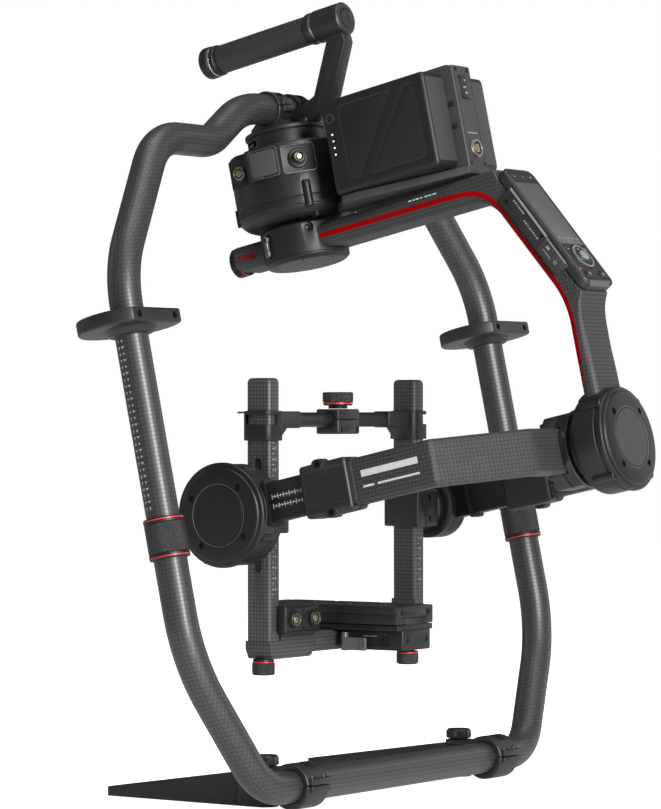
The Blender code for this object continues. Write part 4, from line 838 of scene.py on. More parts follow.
# black bars standing in for the bracket's front slots: painted shade
piece("bracket_slot_shade", join(*[turned(box((40, -1.2, 527), (52.4, 1.2, 533.4)), a) for a in (232, 308)]), "joint_black_and_painted_shade", RF)

BUTTON = (-87.5, 607.0)
LEDS = (592.0, 585.6, 579.2, 572.8)
for side, sx in SIDES:
    lo, hi = (-53.0, -16.5) if sx < 0 else (16.5, 53.0)
    bd = f"battery_{side}"
    xo = sx * 53.0
    a, b = sorted((sx * 52.35, sx * 56))

    def loop2(pts, r, steps=6):
        """Round the corners of a closed 2-D outline."""
        out = []
        for i, p in enumerate(pts):
            p = Vector(p)
            u = (Vector(pts[i - 1]) - p)
            v = (Vector(pts[(i + 1) % len(pts)]) - p)
            u.normalize(), v.normalize()
            for k in range(steps + 1):
                t = k / steps
                out.append(tuple((p + u * r) * (1 - t) ** 2 + p * 2 * t * (1 - t) + (p + v * r) * t ** 2))
        return out

    trap = loop2([(-98.4, 616.8), (-158.5, 616.8), (-110.0, 545.6), (-97.6, 545.6)], 5)
    trap_in = loop2([(-99.2, 616.0), (-157.0, 616.0), (-109.6, 546.4), (-98.4, 546.4)], 4.6)
    tri = loop2([(-172.8, 617.4), (-184.6, 617.4), (-186.4, 545.6), (-121.5, 545.6)], 5)
    tri_in = loop2([(-173.2, 616.6), (-183.8, 616.6), (-185.6, 546.4), (-123.0, 546.4)], 4.4)
    body = box((lo, -196, 535), (hi, -78.5, 625), 4.6, 6)
    ops = [("-", cyl(4.0, min(sx * 50.4, sx * 56), max(sx * 50.4, sx * 56), "x", BUTTON, 40))]
    ops.append(("-", prism(trap, a, b, "x")))
    ops.append(("-", prism(tri, a, b, "x")))
    for z in LEDS:
        ops.append(("-", cyl(1.0, a, b, "x", (-87.0, z), 16)))
    piece(f"battery_case_{side}", solid(body, ops, 0.45, 3), "battery", bd, "L", f"battery_{side}")
    a, b = sorted((sx * 51.4, sx * 53.1))
    # grey ring round the battery key: a painted edge highlight
    piece(f"battery_key_highlight_ring_{side}", lathe([(3.95, a), (4.45, a), (4.45, b + sx * 0.0), (3.95, b)], "x", BUTTON, 48, rnd=0.05), "edge", bd)
    piece(f"battery_key_{side}", lathe([(0, a), (3.5, a), (3.5, b), (2.9, b + sx * 0.0), (0, b)], "x", BUTTON, 40, rnd=0.2), "battery", f"battery_button_{side}", "L", f"battery_button_{side}")
    a, b = sorted((sx * 52.2, sx * 52.95))
    piece(f"battery_leds_{side}", join(*[cyl(0.78, a, b, "x", (-87.0, z), 16) for z in LEDS]), "led", bd)
    a, b = sorted((sx * 51.6, sx * 52.5))
    # the grooves' outlines are drawn lighter than the case as a painted edge highlight
    piece(f"battery_groove_highlights_{side}", join(prism(trap, a, b, "x"), prism(tri, a, b, "x")), "battery_grey_and_painted_outline_highlight", bd)
    a, b = sorted((sx * 51.6, sx * 52.95))
    piece(f"battery_fields_{side}", solid(join(prism(trap_in, a, b, "x"), prism(tri_in, a, b, "x")), [], 0.3, 2), "battery", bd)
    piece(f"battery_pad_{side}", box((lo + 3.4 * (1 if sx < 0 else 1), -196.5, 540), (hi - 3.4, -195.6, 620), 0.3), "battery_grey_and_painted_outline_highlight", bd)

# ------------------------------------------------------------------ feet
for side, sx in SIDES:
    fx = sx * 165.0
    lo, hi = fx - 17, fx + 17
    pl = [(fx - 13, 12.6), (fx + 13, 12.6)] + [(fx + 13 * math.cos(t), 38 + 13 * math.sin(t)) for t in [math.pi * i / 32 for i in range(33)]]
    ops = [("+", prism(pl, 31.6, 36.0, "z", 0.8, 3)),
           ("+", box((lo + 2, -24.4, BAR_H - 4.6), (hi - 2, -17, BAR_H + 8.4), 1.0)),
           ("-", box((lo - 2, -30, BAR_H + 1), (hi + 2, -10, BAR_H + 2.4))),
           ("-", join(cyl(3.4, BAR_H + 6.6, BAR_H + 12, "z", (fx - 9, -20.6), 24), cyl(3.4, BAR_H + 6.6, BAR_H + 12, "z", (fx + 9, -20.6), 24))),
           ("-", box((fx - 5.5, -22, BAR_H + 17), (fx + 5.5, 6, BAR_H + 24), 1.0))]
    piece(f"foot_clamp_{side}_body", solid(lathe([(15.5, lo), (19.8, lo), (21, lo + 1.2), (21, hi - 1.2), (19.8, hi), (15.5, hi)], "x", (0, BAR_H), 96), ops, 0.35), "satin", RF, "W", f"foot_clamp_{side}")
    screws(f"foot_clamp_screws_{side}", [((fx + d, -20.6, BAR_H + 6.2), (0, 0, 1)) for d in (-9, 9)], RF, "W", 2.7, 1.6, 1.3)
    fb = f"foot_{side}"
    arc = [(fx + 12 * math.cos(t), 38 + 12 * math.sin(t)) for t in [math.pi + math.pi * i / 32 for i in range(33)]]
    plan = arc + [(fx + 12, 60), (fx + 8, 210), (fx + 7.4, 213.4), (fx + 5, 215), (fx - 5, 215), (fx - 7.4, 213.4), (fx - 8, 210), (fx - 12, 60)]
    wedge = [(62, 31.02), (215.5, 8.4), (225, 8.0), (225, 60), (62, 60)]
    pocket = prism([(fx - 6.4, 74), (fx + 6.4, 74), (fx + 3.6, 196), (fx - 3.6, 196)], -1, 5.2, "z", 0.5, 2)
    ops = [("-", prism(wedge, fx - 30, fx + 30, "x")), ("-", pocket), ("-", join(box((fx - 20, 61.4, 4), (fx - 11.2, 62.2, 40)), box((fx + 11.2, 61.4, 4), (fx + 20, 62.2, 40))))]
    piece(f"foot_{side}_fin", solid(prism(plan, 0, 31, "z", 0.0), ops, 0.7, 3), "satin", fb, "W", f"foot_{side}")
    piece(f"foot_pad_{side}", join(box((fx - 5.4, 198, -0.0), (fx + 5.4, 212, 0.9), 0.3), box((fx - 9, 44, -0.0), (fx + 9, 66, 0.9), 0.3)), "rubber", fb, "W")
    screws(f"foot_screws_{side}", [((fx + sg * 11.9, 50, 16), (sg, 0, 0)) for sg in (-1, 1)], fb, "W", 2.4, 0.7, 1.1)
    kb = f"foot_knob_{side}"
    piece(f"foot_knob_{side}_core", lathe([(0, 36.6), (7, 36.6), (7, 37.4), (11.0, 37.4), (11.4, 37.8), (11.4, 45.4), (10.6, 46.6), (8.6, 46.6), (8.2, 46.0), (0, 46.0)], "z", (fx, 38), 64, rnd=0.3), "anodised", kb, "W", f"foot_knob_{side}")
    piece(f"foot_knob_{side}_grip", ridged(12.3, 0.6, 40, 37.9, 45.2, "z", (fx, 38)), "knurl_ribs", kb, "W")

# ------------------------------------------------------------------ pan hub and arm
PH, PA = "pan_hub", "pan_arm"
prof = [(0, HUB_LO), (36.4, HUB_LO), (38.4, HUB_LO + 1.2), (HUB_R, HUB_LO + 3.6), (HUB_R, HUB_LO + 5.0), (40.6, HUB_LO + 5.2), (40.6, HUB_LO + 5.6), (HUB_R, HUB_LO + 5.8), (HUB_R, HUB_HI - 1.5), (HUB_R - 1.5, HUB_HI), (22, HUB_HI), (22, PAN_LO - GAP), (0, PAN_LO - GAP)]
ops = [("-", prism(rounded(ARM_W + 0.8, 24.8, 9.4, 8, (0, ARM_Z)), -60, 60, "y")), ("-", turned(lathe([(0, 30), (3.2, 30), (3.2, 36), (5.6, 36), (5.6, 60), (0, 60)], "x", (0, 519.4), 40, rnd=0), 221)),
       ("-", turned(box((38.4, -4.2, 498), (60, 4.2, 520.5), 0.8), 158))]
for az in (205, 262, 330, 30, 90, 140):
    ops.append(("-", cyl(1.9, HUB_LO - 2, HUB_LO + 2.0, "z", (32 * math.cos(math.radians(az)), 32 * math.sin(math.radians(az))), 20)))
piece("hub_body", solid(lathe(prof, "z", (0, 0), 144, rnd=0.5), ops, 0.35), "anodised", PH, "L", "pan_hub")
screws("hub_screws", [((32 * math.cos(math.radians(a)), 32 * math.sin(math.radians(a)), HUB_LO + 1.5), (0, 0, -1)) for a in (205, 262, 330, 30, 90, 140)] + [(polar(36.4, 221, 519.4), polar(1, 221, 0))], PH, "L", 1.7, 0.9, 0.8)

ARM_OUT = [(70, ARM_Z + 12), (-234.8, ARM_Z + 12), diag(-32.4, 21.1), diag(104.5, 21.1), (-302.6, 391.6), (-299.8, 386.5), (-297.8, 380), (-296.8, 373), (-296.6, 365), (-297.2, 345), (-298.6, 320), (-299.4, 285)]


def bend(centre, radius, angles):
    out = []
    for deg in angles:
        a = math.radians(deg)
        out.append((Vector((centre[0] - radius * math.sin(a), centre[1] + radius * math.cos(a))), Vector((-math.cos(a), -math.sin(a)))))
    return out


arm_line = [(Vector((67.5, ARM_Z)), Vector((-1, 0))), (Vector((-96, ARM_Z)), Vector((-1, 0)))]
arm_line += bend((-198.9, ARM_Z - 47), 47, (0, 3, 6, 9, 12, 15, 18, 21, 24, 27, 29.5, 31.3, 33, 34.6, 37, 40, 43, 46, 49, 52, 55, 58, 61.97))
arm_line = dense(arm_line, 10.0)
low_bend = bend((-191.2, 364.4), 100, (61.97, 65, 68, 71, 73, 74.1, 75.2, 76.1, 78, 80, 82, 84, 86, 88, 90))
top_end = arm_line[-1]
arm_line += [(top_end[0].lerp(low_bend[0][0], k / 9), top_end[1]) for k in range(1, 9)] + low_bend
arm_line += [(Vector((-291.2, z)), Vector((0, -1))) for z in (358, 350, 338, 327.4, 314, 301.7, 289)]


def arm_t(p):
    if p.y > ARM_Z - 0.5:
        return 24.0
    if p.y > 483:
        return 24.0 - 3.0 * (ARM_Z - p.y) / (ARM_Z - 483)
    if p.y > 389:
        return 21.0 - 2.4 * (483 - p.y) / (483 - 389)
    return 18.6


def reach_to(line, p, n):
    """Distance from p along n to a line of 2-D points."""
    best = 60.0
    for (ay, az), (by, bz) in zip(line, line[1:]):
        dy, dz = by - ay, bz - az
        det = dy * n.y - dz * n.x
        if abs(det) < 1e-9:
            continue
        t = (dy * (az - p.y) - dz * (ay - p.x)) / det
        u = (n.x * (az - p.y) - n.y * (ay - p.x)) / det
        if t > 0 and -1e-4 <= u <= 1.0001:
            best = min(best, t)
    return best


def arm_outer_radius(p):
    if p.y > ARM_Z - 0.5:
        return 9.0 if p.x > -97 else max(4.0, 9.0 - (-97 - p.x) * 0.05)
    if p.y > 389:
        return 2.6
    if p.y > 340:
        return 2.6 + (389 - p.y) / 49 * 4.6
    return 7.2


def arm_section(k):
    """Soft inner corners, tight outer ones where the panel sits."""
    p, along = arm_line[k]
    t = arm_t(p)
    reach = reach_to(ARM_OUT, p, Vector((along.y, -along.x)))
    r_in, r_out = min(9.0, t * 0.38), arm_outer_radius(p)
    pts = []
    for q, (sx, sy) in enumerate(((1, 1), (-1, 1), (-1, -1), (1, -1))):
        r, h = (r_in, t / 2) if sy > 0 else (r_out, reach)
        for i in range(9):
            a = math.radians(90 * q + 90 * i / 8)
            pts.append((sx * (ARM_W / 2 - r) + r * math.cos(a), sy * (h - r) + r * math.sin(a)))
    return pts


piece("arm_body", solid(sweep(arm_line, in_yz, arm_section), [("-", cyl(4.5, 57, 80, "y", (0, ARM_Z), 32))]), "carbon_diag", PA, "L", "pan_arm")


def stripe_middle(p):
    """Middle of the side on the level run, easing to the inner edge on the diagonal and the leg."""
    h = arm_t(p) / 2
    inner = h - 3.9
    if p.y >= ARM_Z - 0.01 and p.x > -168:
        return 1.5
    if p.y >= ARM_Z - 0.01:
        f = min(1.0, (-168 - p.x) / 31)
        return 1.5 + (inner - 1.5) * 0.16 * f * f
    if p.y > 482:
        f = (ARM_Z - p.y) / (ARM_Z - 482)
        return 1.5 + (inner - 1.5) * (0.16 + 0.84 * f ** 0.8)
    return inner


def skin(k, sx, b0, b1, lift=0.16, deep=-0.5, n=8):
    """Section of a strip lying on the arm's side between offsets b0 and b1 of station k."""
    t = arm_t(arm_line[k][0])
    r = min(9.0, t * 0.38)
    edge = t / 2 - r
    out, back = [], []
    for i in range(n + 1):
        b = b0 + (b1 - b0) * i / n
        if b <= edge:
            x, nx, nb = ARM_W / 2, 1.0, 0.0
        else:
            sn = min(0.999, (b - edge) / r)
            cs = math.sqrt(1 - sn * sn)
            x, nx, nb = ARM_W / 2 - r + r * cs, cs, sn
        out.append((sx * (x + nx * lift), b + nb * lift))
        back.append((sx * (x + nx * deep), b + nb * deep))
    return out + back[::-1]


span = [k for k, (p, t) in enumerate(arm_line) if p.x < -33.6 and p.y > 327.0]
for sx in (-1, 1):
    tag = "left" if sx < 0 else "right"

    def half(p):
        if p.y >= ARM_Z - 0.01:
            return 2.35
        return 2.35 + 0.9 * min(1.0, (ARM_Z - p.y) / 30)

    parts = [sweep([arm_line[k] for k in span], in_yz, lambda i, sx=sx: skin(span[i], sx, stripe_middle(arm_line[span[i]][0]) - half(arm_line[span[i]][0]), stripe_middle(arm_line[span[i]][0]) + half(arm_line[span[i]][0])))]
    leg = len(arm_line) - 1
    for k in range(4):
        z = 322.4 - k * 4.6
        st = [(Vector((-291.2, z + 1.35)), Vector((0, -1))), (Vector((-291.2, z - 1.35 + k * 0.2)), Vector((0, -1)))]
        parts.append(sweep(st, in_yz, lambda i, sx=sx: skin(leg, sx, 18.6 / 2 - 6.2, 18.6 / 2 - 1.4)))
    for k in range(6):
        y = 45 + k * 3.4
        w = 1.3 - k * 0.12
        st = [(Vector((y + w, ARM_Z)), Vector((-1, 0))), (Vector((y - w, ARM_Z)), Vector((-1, 0)))]
        parts.append(sweep(st, in_yz, lambda i, sx=sx: skin(0, sx, -1.0, 4.0)))
    piece(f"arm_stripe_{tag}", join(*parts), "red", PA)

for side, sx in SIDES:
    a, b = sorted((sx * (ARM_W / 2 - 0.1), sx * (ARM_W / 2 + 0.13)))
    piece(f"arm_dashes_{side}", join(*[box((a, y - w, ARM_Z + 5.4), (b, y + w, ARM_Z + 6.6)) for y, w in ((-140, 1.5), (-144.4, 1.2), (-148.4, 1.6), (-152.8, 1.1), (-158.2, 1.4), (-162.4, 1.6), (-167.6, 1.9))]), "white", PA)
AK = "pan_arm_knob"
piece("arm_knob_core", lathe([(0, 59), (4, 59), (4, 68), (13.4, 68), (14.2, 68.8), (14.2, 71.2), (12.8, 71.6), (12.8, 81.2), (12.0, 82), (8.0, 82), (7.6, 81.3), (0, 81.3)], "y", (0, ARM_Z), 96, rnd=0.3), "anodised", AK, "L", "pan_arm_knob")
piece("arm_knob_grip", ridged(14.5, 0.8, 40, 72.2, 81.0, "y", (0, ARM_Z)), "knurl_ribs", AK)
piece("arm_knob_ring", lathe([(13.0, 70.9), (14.35, 71.0), (14.35, 72.0), (13.0, 72.1)], "y", (0, ARM_Z), 96, rnd=0.1), "red_ring", AK)
piece("arm_nose", lathe([(4.6, 66.2), (10.5, 66.2), (10.5, 67.6), (4.6, 67.6)], "y", (0, ARM_Z), 48, rnd=0.3), "anodised", PA)

LV = 158.0
lever = prism([(-2.6, 499), (2.6, 499), (3.4, 503), (2.4, 508), (2.6, 512), (4, 515), (4, 518), (2.6, 519.8), (-2.6, 519.8), (-4, 518), (-4, 515), (-2.6, 512), (-2.4, 508), (-3.4, 503)], 41.6, 45.4, "x", 0.8, 3)
piece("hub_lever_body", turned(lever, LV), "steel", "hub_lever", "L", "hub_lever")
cx, cy = math.cos(math.radians(LV)), math.sin(math.radians(LV))
screws("hub_lever_screw", [((45.2 * cx, 45.2 * cy, 516), (cx, cy, 0))], "hub_lever", "L", 2.0, 0.8, 0.9)

# ------------------------------------------------------------------ control panel on the arm's outer side


def pp(s, o, x=0.0):
    y, z = diag(s, o)
    return Vector((x, y, z))


PN = Vector((0, DIAG_N[0], DIAG_N[1])).normalized()
PD = Vector((0, DIAG_D[0], DIAG_D[1])).normalized()


def on_panel(bm, s, o, x=0.0):
    """+Z of the drawing stands out of the panel, +Y points up the arm."""
    return stand(bm, pp(s, o, x), PN, -PD)


case = on_panel(prism(rounded(50.8, 141.6, 9.0, 10), -10.0, 0.0, "z", 1.9, 3), 37.9, 31.6)
ops = [("-", on_panel(prism(rounded(43, 76, 2.0, 5), -0.9, 6, "z"), 22, 31.6)),
       ("-", on_panel(cyl(14.6, -1.6, 6, "z", (0, 0), 64), 76, 31.6)),
       ("-", prism([diag(103.5, 32.5), diag(110, 27.2), diag(114, 36)], -40, 40, "x")),
       ("-", prism([diag(-31.2, 32.5), diag(-36, 29.4), diag(-38, 36)], -40, 40, "x"))]
for sx in (-1, 1):
    ops.append(("-", on_panel(cyl(5.0, -4, 6, "z", (0, 0), 40), 97.5, 31.6, sx * 12)))
for x, s in ((-21.0, -26), (21.0, -26), (-21.0, 101), (21.0, 101)):
    ops.append(("-", on_panel(cyl(1.7, -1.2, 6, "z", (0, 0), 20), s, 31.6, x)))
# hairlines that part the key fields
ops.append(("-", on_panel(box((-23.4, -0.2, -0.35), (23.4, 0.2, 1)), 62.4, 31.6)))
ops.append(("-", on_panel(box((-23.4, -0.2, -0.35), (23.4, 0.2, 1)), -18.6, 31.6)))
piece("panel_case", solid(case, ops, 0.3), "plastic", PA, "L", "control_panel")
# light grey chamfer strip round the case's edge: a painted edge highlight
edge_out, edge_in = rounded(50.9, 141.7, 9.05, 10), rounded(47.2, 138.0, 7.2, 10)
rim = bmesh.new()
uvl(rim)
lo_ring = [rim.verts.new((x, y, -1.95)) for x, y in edge_out]
hi_ring = [rim.verts.new((x, y, 0.06)) for x, y in edge_in]
lo_back = [rim.verts.new((x * 0.985, y * 0.993, -2.3)) for x, y in edge_out]
hi_back = [rim.verts.new((x * 0.985, y * 0.993, -0.5)) for x, y in edge_in]
for a_, b_ in ((lo_ring, hi_ring), (hi_ring, hi_back), (hi_back, lo_back), (lo_back, lo_ring)):
    for i in range(len(a_)):
        j = (i + 1) % len(a_)
        rim.faces.new((a_[i], a_[j], b_[j], b_[i]))
bmesh.ops.recalc_face_normals(rim, faces=rim.faces)
piece("panel_rim_highlight", solid(on_panel(rim, 37.9, 31.6), [("-", prism([diag(103.0, 32.5), diag(110, 26.8), diag(114, 36)], -40, 40, "x")), ("-", prism([diag(-30.6, 32.5), diag(-36, 28.8), diag(-38, 36)], -40, 40, "x"))]), "bevel", PA)
# grey strip along the panel's chin: a painted edge highlight
piece("panel_chin_highlight", prism([diag(104.4, 31.3), diag(108.7, 28.0), diag(108.9, 28.4), diag(104.6, 31.7)], -17.5, 17.5, "x", 0.1, 1), "edge", PA)
cov_side = [diag(-12.6, 26.4), diag(-11.4, 13.0), diag(-8.6, 11.0), diag(48, 11), diag(48, 27.2), diag(-11.8, 27.2)]
piece("panel_cover", solid(prism(cov_side, -27.8, -24.5, "x", 0.6, 3), [("-", prism([diag(-6.5, 24.6), diag(46.6, 24.6), diag(46.6, 25.0), diag(-6.5, 25.0)], -28.4, -27.4, "x"))]), "cover", PA, "L", "control_panel")
# light grey strip along the cover's outer edge: a painted edge highlight
piece("cover_edge_highlight", prism([diag(-11.2, 25.6), diag(48, 25.6), diag(48, 27.25), diag(-11.2, 27.25)], -27.95, -25.6, "x", 0.35, 2), "bevel", PA)
piece("panel_screen", on_panel(prism(rounded(42.4, 75.4, 1.8, 5), -1.2, -0.25, "z", 0.15, 2), 22, 31.6), "screen", PA)
screws("panel_screws", [(pp(s, 30.6, x), PN) for x, s in ((-21.0, -26), (21.0, -26), (-21.0, 101), (21.0, 101))], PA, "L", 1.5, 0.5, 0.7)
marks = [on_panel(plate_mark(x, 0, w, 0.7), s, 31.6) for s, x, w in ((-22.5, -14, 4), (-22.5, 0, 1.6), (-22.5, 14, 4), (-24.3, -16.4, 0.8), (-24.3, 16.4, 0.8), (66.5, -15, 4.2), (66.5, 0, 1.6), (66.5, 15, 4.2), (64.7, -17.5, 0.8), (64.7, 17.5, 0.8))]
piece("panel_marks", join(*marks), "grey_print", PA)
dashes = []
for s0, o0, count, w in ((0.5, 22.4, 6, 2.3), (22.0, 18.6, 8, 2.2)):
    for k in range(count):
        ww = w * (0.75, 1.0, 0.55, 0.9)[k % 4]
        dashes.append(stand(plate_mark(0, 0, ww, 1.5, 0.12), pp(s0 + k * 3.0, o0, -27.8), (-1, 0, 0), PN))
piece("cover_dashes", join(*dashes), "grey_print", PA)
piece("panel_screen_icons", join(*[on_panel(plate_mark(-15 + k * 7.5, -31, 2.4, 1.2, 0.04), 22, 31.36) for k in range(5)]), "grey_print", PA)
piece("panel_led", on_panel(lathe([(0, -0.1), (1.3, -0.1), (1.3, 0.25), (0.9, 0.4), (0, 0.4)], "z", (0, 0), 24, rnd=0.1), 90.6, 31.6, -19.6), "red_ring", PA)
screws("cover_screws", [(pp(-4.5, 15.5, -27.9), (-1, 0, 0)), (pp(45, 23.5, -27.9), (-1, 0, 0))], PA, "L", 1.7, 0.5, 0.8)
piece("cover_seam", join(stand(box((-27, -0.22, -0.05), (25.6, 0.22, 0.08)), pp(20, 14.4, -27.8), (-1, 0, 0), PN)), "joint_black_and_painted_shade", PA)

dial = lathe([(0, -1.2), (14, -1.2), (14, 0.5), (12.9, 1.5), (10.6, 1.5), (9.8, 0.9), (7.4, 0.9), (6.9, 2.2), (5.9, 3.0), (0, 3.2)], "z", (0, 0), 96, rnd=0.35)
piece("dial_body", on_panel(dial, 76, 31.6), "plastic", "panel_dial", "L", "panel_dial")
piece("dial_ring", on_panel(lathe([(11.6, 1.2), (12.9, 1.2), (13.0, 1.72), (11.5, 1.76)], "z", (0, 0), 96, rnd=0.05), 76, 31.6), "bevel", "panel_dial")
piece("dial_dome", on_panel(lathe([(0, 2.6), (5.6, 2.6), (5.7, 3.1), (4.2, 3.9), (2.2, 4.35), (0, 4.5)], "z", (0, 0), 64, rnd=0.3), 76, 31.6), "bevel", "panel_dial")
piece("dial_dot", on_panel(cyl(0.6, 0.8, 1.3, "z", (0, 8.6), 16), 76, 31.6), "white", "panel_dial")
for side, sx in SIDES:
    bb = f"panel_button_{side}"
    piece(f"panel_key_{side}", on_panel(lathe([(0, -1.8), (4.5, -1.8), (4.5, 0.9), (3.9, 1.4), (0, 1.6)], "z", (0, 0), 48, rnd=0.3), 97.5, 31.6, sx * 12), "plastic", bb, "L", bb)
    ring = on_panel(lathe([(1.1, 1.3), (1.6, 1.3), (1.6, 1.66), (1.1, 1.66)], "z", (0, 0), 24, rnd=0), 97.5, 31.6, sx * 12)
    bar = on_panel(plate_mark(0, 0, 0.5, 2.0, 1.7), 97.5, 31.6, sx * 12)
    piece(f"panel_key_mark_{side}", join(ring, bar), "grey_print", bb)
flap = [diag(48.6, 11), diag(78, 11), diag(82, 15), diag(84, 25), diag(82, 27), diag(48.6, 27)]
fl = solid(prism(flap, -28.2, -25.8, "x", 0.5, 2), [("-", stand(prism(rounded(13, 8, 1.2, 4), -0.3, 3, "z"), pp(60, 19, -28.2), (-1, 0, 0), PN))])
piece("flap_body", fl, "rubber", "panel_port_flap", "L", "panel_port_flap")
piece("flap_marks", join(stand(plate_mark(0, 0, 4.4, 2.2), pp(57.5, 21.4, -27.95), (-1, 0, 0), PN), stand(plate_mark(0, 0, 13.5, 0.5), pp(61.5, 16.8, -27.95), (-1, 0, 0), PN),
      stand(lathe([(1.15, -0.05), (1.75, -0.05), (1.75, 0.15), (1.15, 0.15)], "z", (0, 0), 20, rnd=0), pp(72.5, 18.5, -28.15), (-1, 0, 0), PN)), "grey_print", "panel_port_flap")
# light grey strip along the flap's edge: a painted edge highlight
piece("flap_edge_highlight", prism([diag(48.9, 25.6), diag(80.6, 25.6), diag(80.6, 26.9), diag(48.9, 26.9)], -28.3, -26.2, "x", 0.3, 2), "bevel", "panel_port_flap")

# ------------------------------------------------------------------ roll motor


def motor_cap(name, axis, centre, h, sgn, body, node, fr="L", screws_at=(50, 130, 225, 320), disc="disc"):
    """Round cover with a raised band, a groove and a flat middle disc, held by four screws in pockets."""
    q = lambda d: h + sgn * d
    prof = [(0, q(0)), (48, q(0)), (48, q(3.0)), (47.2, q(4.4)), (45.4, q(5.2)), (43.6, q(5.4)), (42.8, q(6.8)), (41.4, q(7.3)), (28.6, q(8.3)), (28.0, q(7.7)), (27.0, q(7.7)), (0, q(7.7))]
    ops = []
    for a in screws_at:
        t = math.radians(a)
        c = (centre[0] + 33.6 * math.cos(t), centre[1] + 33.6 * math.sin(t))
        e0, e1 = sorted((q(5.6), q(12)))
        ops.append(("-", cyl(3.1, e0, e1, axis, c, 32)))
    piece(name, solid(lathe(prof, axis, centre, 160, rnd=0.4), ops), "cap", body, fr, node)
    n = to3(axis, 0, 0, sgn)
    screws(name + "_screws", [(to3(axis, centre[0] + 33.6 * math.cos(math.radians(a)), centre[1] + 33.6 * math.sin(math.radians(a)), q(5.6)), n) for a in screws_at], body, fr, 2.4, 1.2, 1.2)
    piece(name + "_seam", lathe([(46.9, q(-0.25)), (48.05, q(-0.25)), (48.05, q(0.12)), (46.9, q(0.12))], axis, centre, 160, rnd=0), "joint_black_and_painted_shade", body, fr)
    # the disc takes the lighter disc grey by default, painted light on the roll cap; the tilt cap passes the darker cap
    # material
    piece(name + "_disc", lathe([(0, q(7.5)), (26.6, q(7.5)), (26.8, q(8.3)), (26.2, q(8.6)), (0, q(8.65))], axis, centre, 128, rnd=0.2), disc, body, fr)
    # grey ring round the middle disc: a painted edge highlight
    piece(name + "_rim", lathe([(28.1, q(8.0)), (28.9, q(8.0)), (28.8, q(8.36)), (28.3, q(8.42))], axis, centre, 128, rnd=0.05), "edge", body, fr)


prof = [(0, -271.8), (37, -271.8), (41.5, -272.8), (44.6, -275.2), (46.2, -278.6), (ROLL_R, -281), (ROLL_R, -299), (45.6, -299.6), (45.6, -301.2), (ROLL_R, -301.8), (ROLL_R, -303), (0, -303)]
# raised saddle round the leg's root, following the barrel
saddle = solid(lathe([(0, -279.0), (ROLL_R + 2.2, -279.0), (ROLL_R + 2.2, -302.6), (0, -302.6)], "y", (0, ROLL_Z), 160, rnd=0.6),
               [("-", box((27.4, -310, 190), (80, -270, 320))), ("-", box((-80, -310, 190), (-27.4, -270, 320))), ("-", box((-60, -310, 190), (60, -270, 282)))], 0.9, 3)
sb = bmesh.new()
sb.from_mesh(saddle.data)
bpy.data.objects.remove(saddle)
ops = [("+", sb)]
ROLL_BOSS = (45, 135, 225, 315)
for az in ROLL_BOSS:
    a = math.radians(az)
    ops.append(("+", lathe([(0, -281.5), (1.8, -282), (3.6, -284.5), (3.9, -287), (3.9, -303), (0, -303)], "y", (46.4 * math.cos(a), ROLL_Z + 46.4 * math.sin(a)), 32, rnd=0.4)))
piece("roll_motor", solid(lathe(prof, "y", (0, ROLL_Z), 160, rnd=0.5), ops, 0.35), "anodised", PA, "L", "roll_motor_housing")
piece("roll_boss_ends", join(*[lathe([(0, -303.0), (4.4, -303.0), (4.7, -303.6), (4.7, -305.4), (4.0, -306.2), (2.4, -306.2), (2.4, -305.2), (0, -305.2)], "y", (46.4 * math.cos(math.radians(a)), ROLL_Z + 46.4 * math.sin(math.radians(a))), 32, rnd=0.25) for a in ROLL_BOSS]), "anodised", PA)
screws("roll_motor_screws", [((46.4 * math.cos(math.radians(a)), -304.6, ROLL_Z + 46.4 * math.sin(math.radians(a))), (0, -1, 0)) for a in ROLL_BOSS], PA, "L", 1.4, 0.8, 0.7)
motor_cap("roll_cap", "y", (0, ROLL_Z), -303.4, -1, PA, "roll_motor_cap", "L", (46, 134, 226, 314))

RC = "roll_clamp"
octa = [(38 * math.cos(math.radians(22.5 + 45 * i)), ROLL_Z + 36.5 * math.sin(math.radians(22.5 + 45 * i))) for i in range(8)]
ops = [("+", lathe([(0, -271.4), (31, -271.4), (31, -264.5), (35.8, -263.9), (36.5, -263.2), (36.5, -260.5), (0, -260.5)], "y", (0, ROLL_Z), 128, rnd=0.3)),
       ("-", box((-60, YOKE_Y - YOKE_T / 2 - 0.4, ROLL_Z - YOKE_H / 2 - 0.4), (60, YOKE_Y + YOKE_T / 2 + 0.4, ROLL_Z + YOKE_H / 2 + 0.4))),
       ("-", box((-60, -250.2, ROLL_Z + YOKE_H / 2 - 1), (60, -249.2, ROLL_Z + 60))),
       ("-", box((-60, -250.2, ROLL_Z - 60), (60, -249.2, ROLL_Z - YOKE_H / 2 + 1)))]
for x in (-22, 22):
    for zz in (-1, 1):
        ops.append(("-", cyl(2.8, -234.2, -230, "y", (x, ROLL_Z + zz * 26), 24)))
piece("roll_clamp_body", solid(prism(octa, -262.2, -232.4, "y", 1.6, 3), ops, 0.35), "satin", RC, "L", "roll_clamp")
screws("roll_clamp_screws", [((x, -234.0, ROLL_Z + zz * 26), (0, 1, 0)) for x in (-22, 22) for zz in (-1, 1)], RC, "L", 2.4, 1.2, 1.2)
piece("roll_flange_ring", lathe([(35.4, -264.2), (36.6, -263.9), (36.6, -263.1), (35.4, -262.8)], "y", (0, ROLL_Z), 128, rnd=0.1), "steel", RC)

